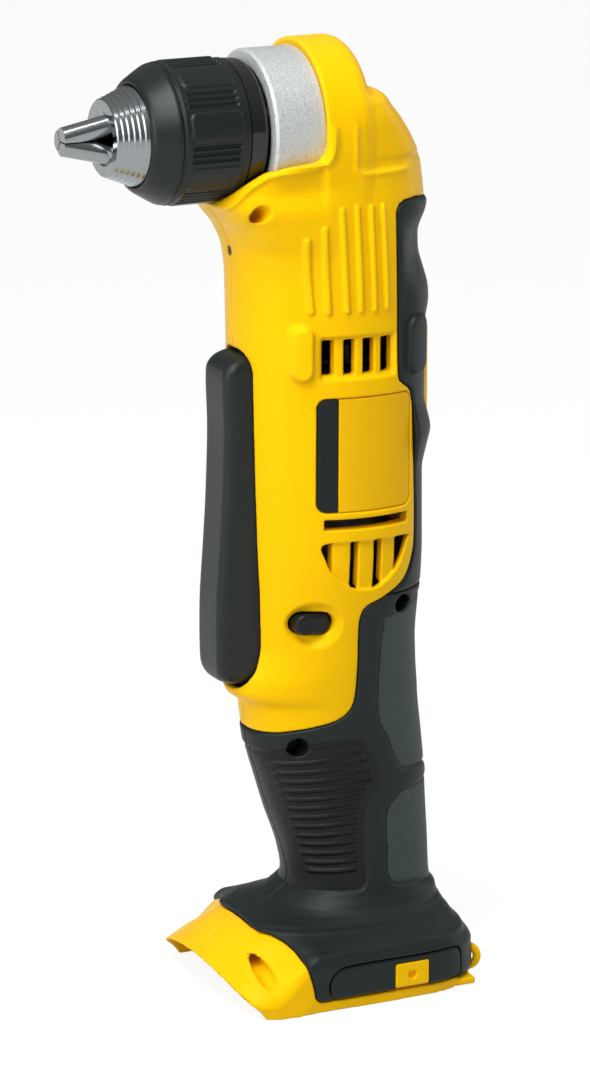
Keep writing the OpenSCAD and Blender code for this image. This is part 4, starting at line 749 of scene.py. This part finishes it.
# Materials
def node_material(name, colour, rough, metal=0.0, grain=900.0, bump=0.05, vary=0.06, rough_vary=0.08,
                  stretch=(1, 1, 1), specular=0.5, coat=0.0, speckle=0.0, sheen=(1, 1, 1)):
    """A surface with fine grain, uneven gloss and a slight change of tone."""
    m = bpy.data.materials.new(name)
    m.use_nodes = True
    nodes, links = m.node_tree.nodes, m.node_tree.links
    shader = nodes["Principled BSDF"]
    shader.inputs["Metallic"].default_value = metal
    shader.inputs["Specular IOR Level"].default_value = specular
    shader.inputs["Specular Tint"].default_value = (*sheen, 1)
    shader.inputs["Coat Weight"].default_value = coat
    place = nodes.new("ShaderNodeTexCoord")
    scale = nodes.new("ShaderNodeMapping")
    scale.inputs["Scale"].default_value = stretch
    links.new(place.outputs["Object"], scale.inputs["Vector"])
    fine = nodes.new("ShaderNodeTexNoise")
    fine.inputs["Scale"].default_value = grain
    fine.inputs["Detail"].default_value = 3.0
    links.new(scale.outputs["Vector"], fine.inputs["Vector"])
    wide = nodes.new("ShaderNodeTexNoise")
    wide.inputs["Scale"].default_value = 22.0
    wide.inputs["Detail"].default_value = 4.0
    links.new(place.outputs["Object"], wide.inputs["Vector"])
    tone = nodes.new("ShaderNodeMix")
    tone.data_type = "RGBA"
    tone.inputs[6].default_value = (*[c * (1 - vary) for c in colour], 1)
    tone.inputs[7].default_value = (*[min(1, c * (1 + vary)) for c in colour], 1)
    links.new(wide.outputs["Fac"], tone.inputs["Factor"])
    colour_out = tone.outputs[2]
    if speckle:
        spots = nodes.new("ShaderNodeMapRange")
        spots.inputs["From Min"].default_value = 0.3
        spots.inputs["From Max"].default_value = 0.7
        spots.inputs["To Min"].default_value = 1 - speckle
        spots.inputs["To Max"].default_value = 1 + speckle
        links.new(fine.outputs["Fac"], spots.inputs["Value"])
        lit = nodes.new("ShaderNodeVectorMath")
        lit.operation = "SCALE"
        links.new(colour_out, lit.inputs[0])
        links.new(spots.outputs["Result"], lit.inputs["Scale"])
        colour_out = lit.outputs[0]
    links.new(colour_out, shader.inputs["Base Color"])
    gloss = nodes.new("ShaderNodeMapRange")
    gloss.inputs["To Min"].default_value = max(0.03, rough - rough_vary)
    gloss.inputs["To Max"].default_value = min(1, rough + rough_vary)
    links.new(fine.outputs["Fac"], gloss.inputs["Value"])
    links.new(gloss.outputs["Result"], shader.inputs["Roughness"])
    relief = nodes.new("ShaderNodeBump")
    relief.inputs["Strength"].default_value = bump
    relief.inputs["Distance"].default_value = 0.0004
    links.new(fine.outputs["Fac"], relief.inputs["Height"])
    links.new(relief.outputs["Normal"], shader.inputs["Normal"])
    return m


YELLOW = node_material("yellow_moulded", (0.93, 0.53, 0.0015), 0.4, grain=1500, bump=0.05, vary=0.02,
                       specular=0.3, sheen=(1, 0.8, 0.12))
LABEL = node_material("yellow_label", (0.86, 0.475, 0.004), 0.45, grain=1500, bump=0.02, vary=0.02,
                      specular=0.25, sheen=(1, 0.8, 0.2))
SOFT = node_material("soft_grip", (0.009, 0.0145, 0.015), 0.5, grain=1800, bump=0.1, vary=0.1, specular=0.24)
# Ridged panel of the grip: a darker copy of the soft grip material, which is painted shade on that panel.
RIBBED_PAINTED_SHADE = node_material("ribbed_grip_painted_shade", (0.0045, 0.0065, 0.007), 0.45, grain=1800, bump=0.08, vary=0.1,
                       specular=0.24)
# Grained panels of the grip: a rough grain, coloured lighter partly as the panels' own tone and partly as a
# painted highlight from light on that side.
STIPPLE_AND_HIGHLIGHT = node_material("grained_grip_and_highlight", (0.040, 0.058, 0.058), 0.6, grain=2300, bump=0.5, vary=0.1,
                        specular=0.3, speckle=0.3)
BLACK_PLASTIC = node_material("black_plastic", (0.006, 0.0085, 0.009), 0.4, grain=1700, bump=0.06, vary=0.1,
                              specular=0.25)
PADDLE_BLACK = node_material("paddle_grain", (0.010, 0.0145, 0.015), 0.4, grain=2000, bump=0.3, vary=0.1,
                             specular=0.3, speckle=0.2)
GLOSS = node_material("gloss_black", (0.008, 0.008, 0.009), 0.12, grain=600, bump=0.02, vary=0.1,
                      rough_vary=0.04)
SILVER = node_material("blasted_metal", (0.55, 0.58, 0.59), 0.5, metal=0.4, grain=1700, bump=0.6, vary=0.05,
                       speckle=0.16)
POLISHED = node_material("polished_steel", (0.30, 0.32, 0.33), 0.17, metal=1, grain=900, bump=0.05,
                         stretch=(9, 1, 1), speckle=0.12)
STEEL = node_material("steel", (0.42, 0.43, 0.45), 0.3, metal=1, grain=800, bump=0.06)
DARK = node_material("dark_steel", (0.09, 0.09, 0.095), 0.38, metal=0.9, grain=800, bump=0.06)
BRONZE = node_material("bronze", (0.5, 0.3, 0.12), 0.35, metal=1, grain=900, bump=0.05)
COPPER = node_material("copper", (0.62, 0.28, 0.12), 0.35, metal=1, grain=900, bump=0.1)
MAGNET = node_material("magnet", (0.05, 0.05, 0.055), 0.5, metal=0.3, grain=900, bump=0.1)
CARBON = node_material("carbon", (0.03, 0.03, 0.032), 0.7, grain=1200, bump=0.15)
# The lamp's lens is coloured dark brown: painted shade of the small recess that it sits in.
LENS_PAINTED_SHADE = node_material("clear_lens", (0.05, 0.026, 0.012), 0.25, grain=400, bump=0.02, vary=0.02,
                     rough_vary=0.03, specular=0.15)
RED = node_material("red_plastic", (0.4, 0.02, 0.02), 0.4, grain=1500, bump=0.06)
SLEEVE_GREY = node_material("chuck_plastic", (0.008, 0.0125, 0.013), 0.38, grain=1700, bump=0.06, vary=0.08,
                            specular=0.3)
SLOTS = {"yellow_shell": YELLOW, "soft_grip": SOFT, "black_plastic": BLACK_PLASTIC, "gloss_black": GLOSS,
         "collar_silver": SILVER, "polished_steel": POLISHED, "steel": STEEL, "dark_steel": DARK,
         "bronze": BRONZE, "copper": COPPER, "magnet": MAGNET, "carbon": CARBON, "clear_lens": LENS_PAINTED_SHADE,
         "red_plastic": RED}

# Pieces of the object
for side, word in ((-1, "left"), (1, "right")):
    low, high = ((-48, -38, -1), (44, 1, 302)) if side < 0 else ((-48, -1, -1), (44, 38, 302))
    add_piece("shell_" + word, *surface(shell_field(side), low, high, FINE), "housing", "yellow_shell",
              ["housing_" + word], YELLOW)
    high = (44, high[1], 132)
    grip = add_piece("soft_grip_" + word, *surface(grip_field(side), low, high, FINE), "housing", "soft_grip",
                     ["grip_" + word], SOFT, STIPPLE_AND_HIGHLIGHT, RIBBED_PAINTED_SHADE)
    x, _, z = centres(grip).T
    # The grained panels take the lighter grain material with its painted highlight, and the ridged panel
    # takes the painted shade.
    paint(grip, sample(GRAIN, x, z) < -0.3, sample(PANEL, x, z) < -0.3)
add_piece("strip", *surface(strip_field, (0, -30, 127), (32, 30, 256), FINE), "housing", "soft_grip",
          ["back_strip"], SOFT)
add_piece("plates", *surface(plate_field, (-20, -30, 154), (20, 30, 197), FINE * 0.8), "housing",
          "yellow_shell", ["nameplates"], LABEL)
add_piece("plate_bands", *surface(band_field, (-20, -30, 154), (-6, 30, 197), FINE * 0.8), "housing",
          "black_plastic", [], BLACK_PLASTIC)
add_piece("foot_pads", *surface(pad_field, (-22, -39, 1), (34, 39, 18), FINE), "housing", "soft_grip",
          ["side_pads"], SOFT)
add_piece("catches", *surface(clip_field, (2, -39, 1), (20, 39, 15), FINE * 0.7), "housing", "yellow_shell",
          ["pad_clips"], YELLOW)
add_piece("paddle", *surface(paddle_field, (-46, -11, 98), (-25, 11, 208), FINE), "trigger", "black_plastic",
          ["paddle_trigger"], PADDLE_BLACK)
add_piece("selector", *surface(selector_field, (17, -8, 184), (32, 8, 214), FINE * 0.8), "speed_selector",
          "black_plastic", ["speed_selector"], BLACK_PLASTIC)
add_piece("direction_pill", *surface(button_field, (-26, -22.5, 116), (-6, 22.5, 128), FINE * 0.6),
          "direction_button", "black_plastic", ["direction_button"], BLACK_PLASTIC)
add_piece("sleeve", *turned(SLEEVE_OUT, SLEEVE_IN, sleeve_relief), "chuck_sleeve", "black_plastic",
          ["chuck_sleeve"], SLEEVE_GREY)

# Materials of the solids that stay
for row in frame["record"]["subparts"]:
    for holder in frame["nodes"][row["node"]].material_slots:
        holder.material = SLOTS[row["material_slot"]]

# Floor, light and camera
floor_mesh = bpy.data.meshes.new("floor")
floor_mesh.from_pydata([(-12, -12, 0), (12, -12, 0), (12, 12, 0), (-12, 12, 0)], [], [(0, 1, 2, 3)])
floor = bpy.data.objects.new("floor", floor_mesh)
bpy.context.scene.collection.objects.link(floor)
pale = bpy.data.materials.new("pale_floor")
pale.use_nodes = True
nodes, links = pale.node_tree.nodes, pale.node_tree.links
shader = nodes["Principled BSDF"]
shader.inputs["Base Color"].default_value = (0.65, 0.65, 0.65, 1)
shader.inputs["Roughness"].default_value = 0.9
glow = nodes.new("ShaderNodeEmission")
glow.inputs["Strength"].default_value = 1.13
path = nodes.new("ShaderNodeLightPath")
straight = nodes.new("ShaderNodeMath")
straight.operation = "MAXIMUM"
links.new(path.outputs["Is Camera Ray"], straight.inputs[0])
links.new(path.outputs["Is Transmission Ray"], straight.inputs[1])
seen = nodes.new("ShaderNodeMath")
seen.operation = "MAXIMUM"
links.new(straight.outputs[0], seen.inputs[0])
links.new(path.outputs["Is Glossy Ray"], seen.inputs[1])
most = nodes.new("ShaderNodeMath")
most.operation = "MULTIPLY"
most.inputs[1].default_value = 0.8
links.new(seen.outputs[0], most.inputs[0])
mix = nodes.new("ShaderNodeMixShader")
links.new(most.outputs[0], mix.inputs["Fac"])
links.new(shader.outputs["BSDF"], mix.inputs[1])
links.new(glow.outputs["Emission"], mix.inputs[2])
links.new(mix.outputs["Shader"], nodes["Material Output"].inputs["Surface"])
floor_mesh.materials.append(pale)

world = bpy.data.worlds.new("studio")
world.use_nodes = True
nodes, links = world.node_tree.nodes, world.node_tree.links
place = nodes.new("ShaderNodeTexCoord")
split = nodes.new("ShaderNodeSeparateXYZ")
links.new(place.outputs["Generated"], split.inputs["Vector"])
sky = nodes.new("ShaderNodeMapRange")
sky.inputs["From Min"].default_value = -0.1
sky.inputs["From Max"].default_value = 1.0
sky.inputs["To Min"].default_value = 0.14
sky.inputs["To Max"].default_value = 0.42
links.new(split.outputs["Z"], sky.inputs["Value"])
nodes["Background"].inputs["Color"].default_value = (1, 1, 1, 1)
links.new(sky.outputs["Result"], nodes["Background"].inputs["Strength"])
bpy.context.scene.world = world

TARGET = Vector((-12.2, 0, 142.9)) * MM


def lamp(name, place, size, power, aim=TARGET):
    """A soft rectangular lamp turned to what it lights."""
    data = bpy.data.lights.new(name, "AREA")
    data.shape = "RECTANGLE"
    data.size, data.size_y = size
    data.energy = power
    obj = bpy.data.objects.new(name, data)
    obj.location = place
    obj.rotation_euler = (aim - Vector(place)).to_track_quat("-Z", "Y").to_euler()
    bpy.context.scene.collection.objects.link(obj)


lamp("top", (-0.45, -0.3, 1.3), (0.6, 0.6), 10.0)
lamp("key", (-0.4, -0.48, 0.8), (0.35, 0.35), 2.8, Vector((-0.01, 0, 0.25)))
lamp("left", (-1.15, -0.3, 0.55), (0.4, 0.8), 5.5)
lamp("rim", (0.95, -0.05, 0.5), (0.4, 0.9), 2.2)

camera_data = bpy.data.cameras.new("camera")
camera_data.sensor_fit = "VERTICAL"
camera_data.sensor_height = 36
camera_data.lens = 155.67
camera_data.clip_end = 50
camera = bpy.data.objects.new("camera", camera_data)
azimuth, elevation, away = math.radians(-25.5), math.radians(15.3), 1.4476
camera.location = TARGET + away * Vector((math.cos(elevation) * math.sin(azimuth),
                                          -math.cos(elevation) * math.cos(azimuth), math.sin(elevation)))
camera.rotation_euler = (TARGET - camera.location).to_track_quat("-Z", "Y").to_euler()
bpy.context.scene.collection.objects.link(camera)
bpy.context.scene.camera = camera
bpy.context.scene.view_settings.view_transform = "Standard"
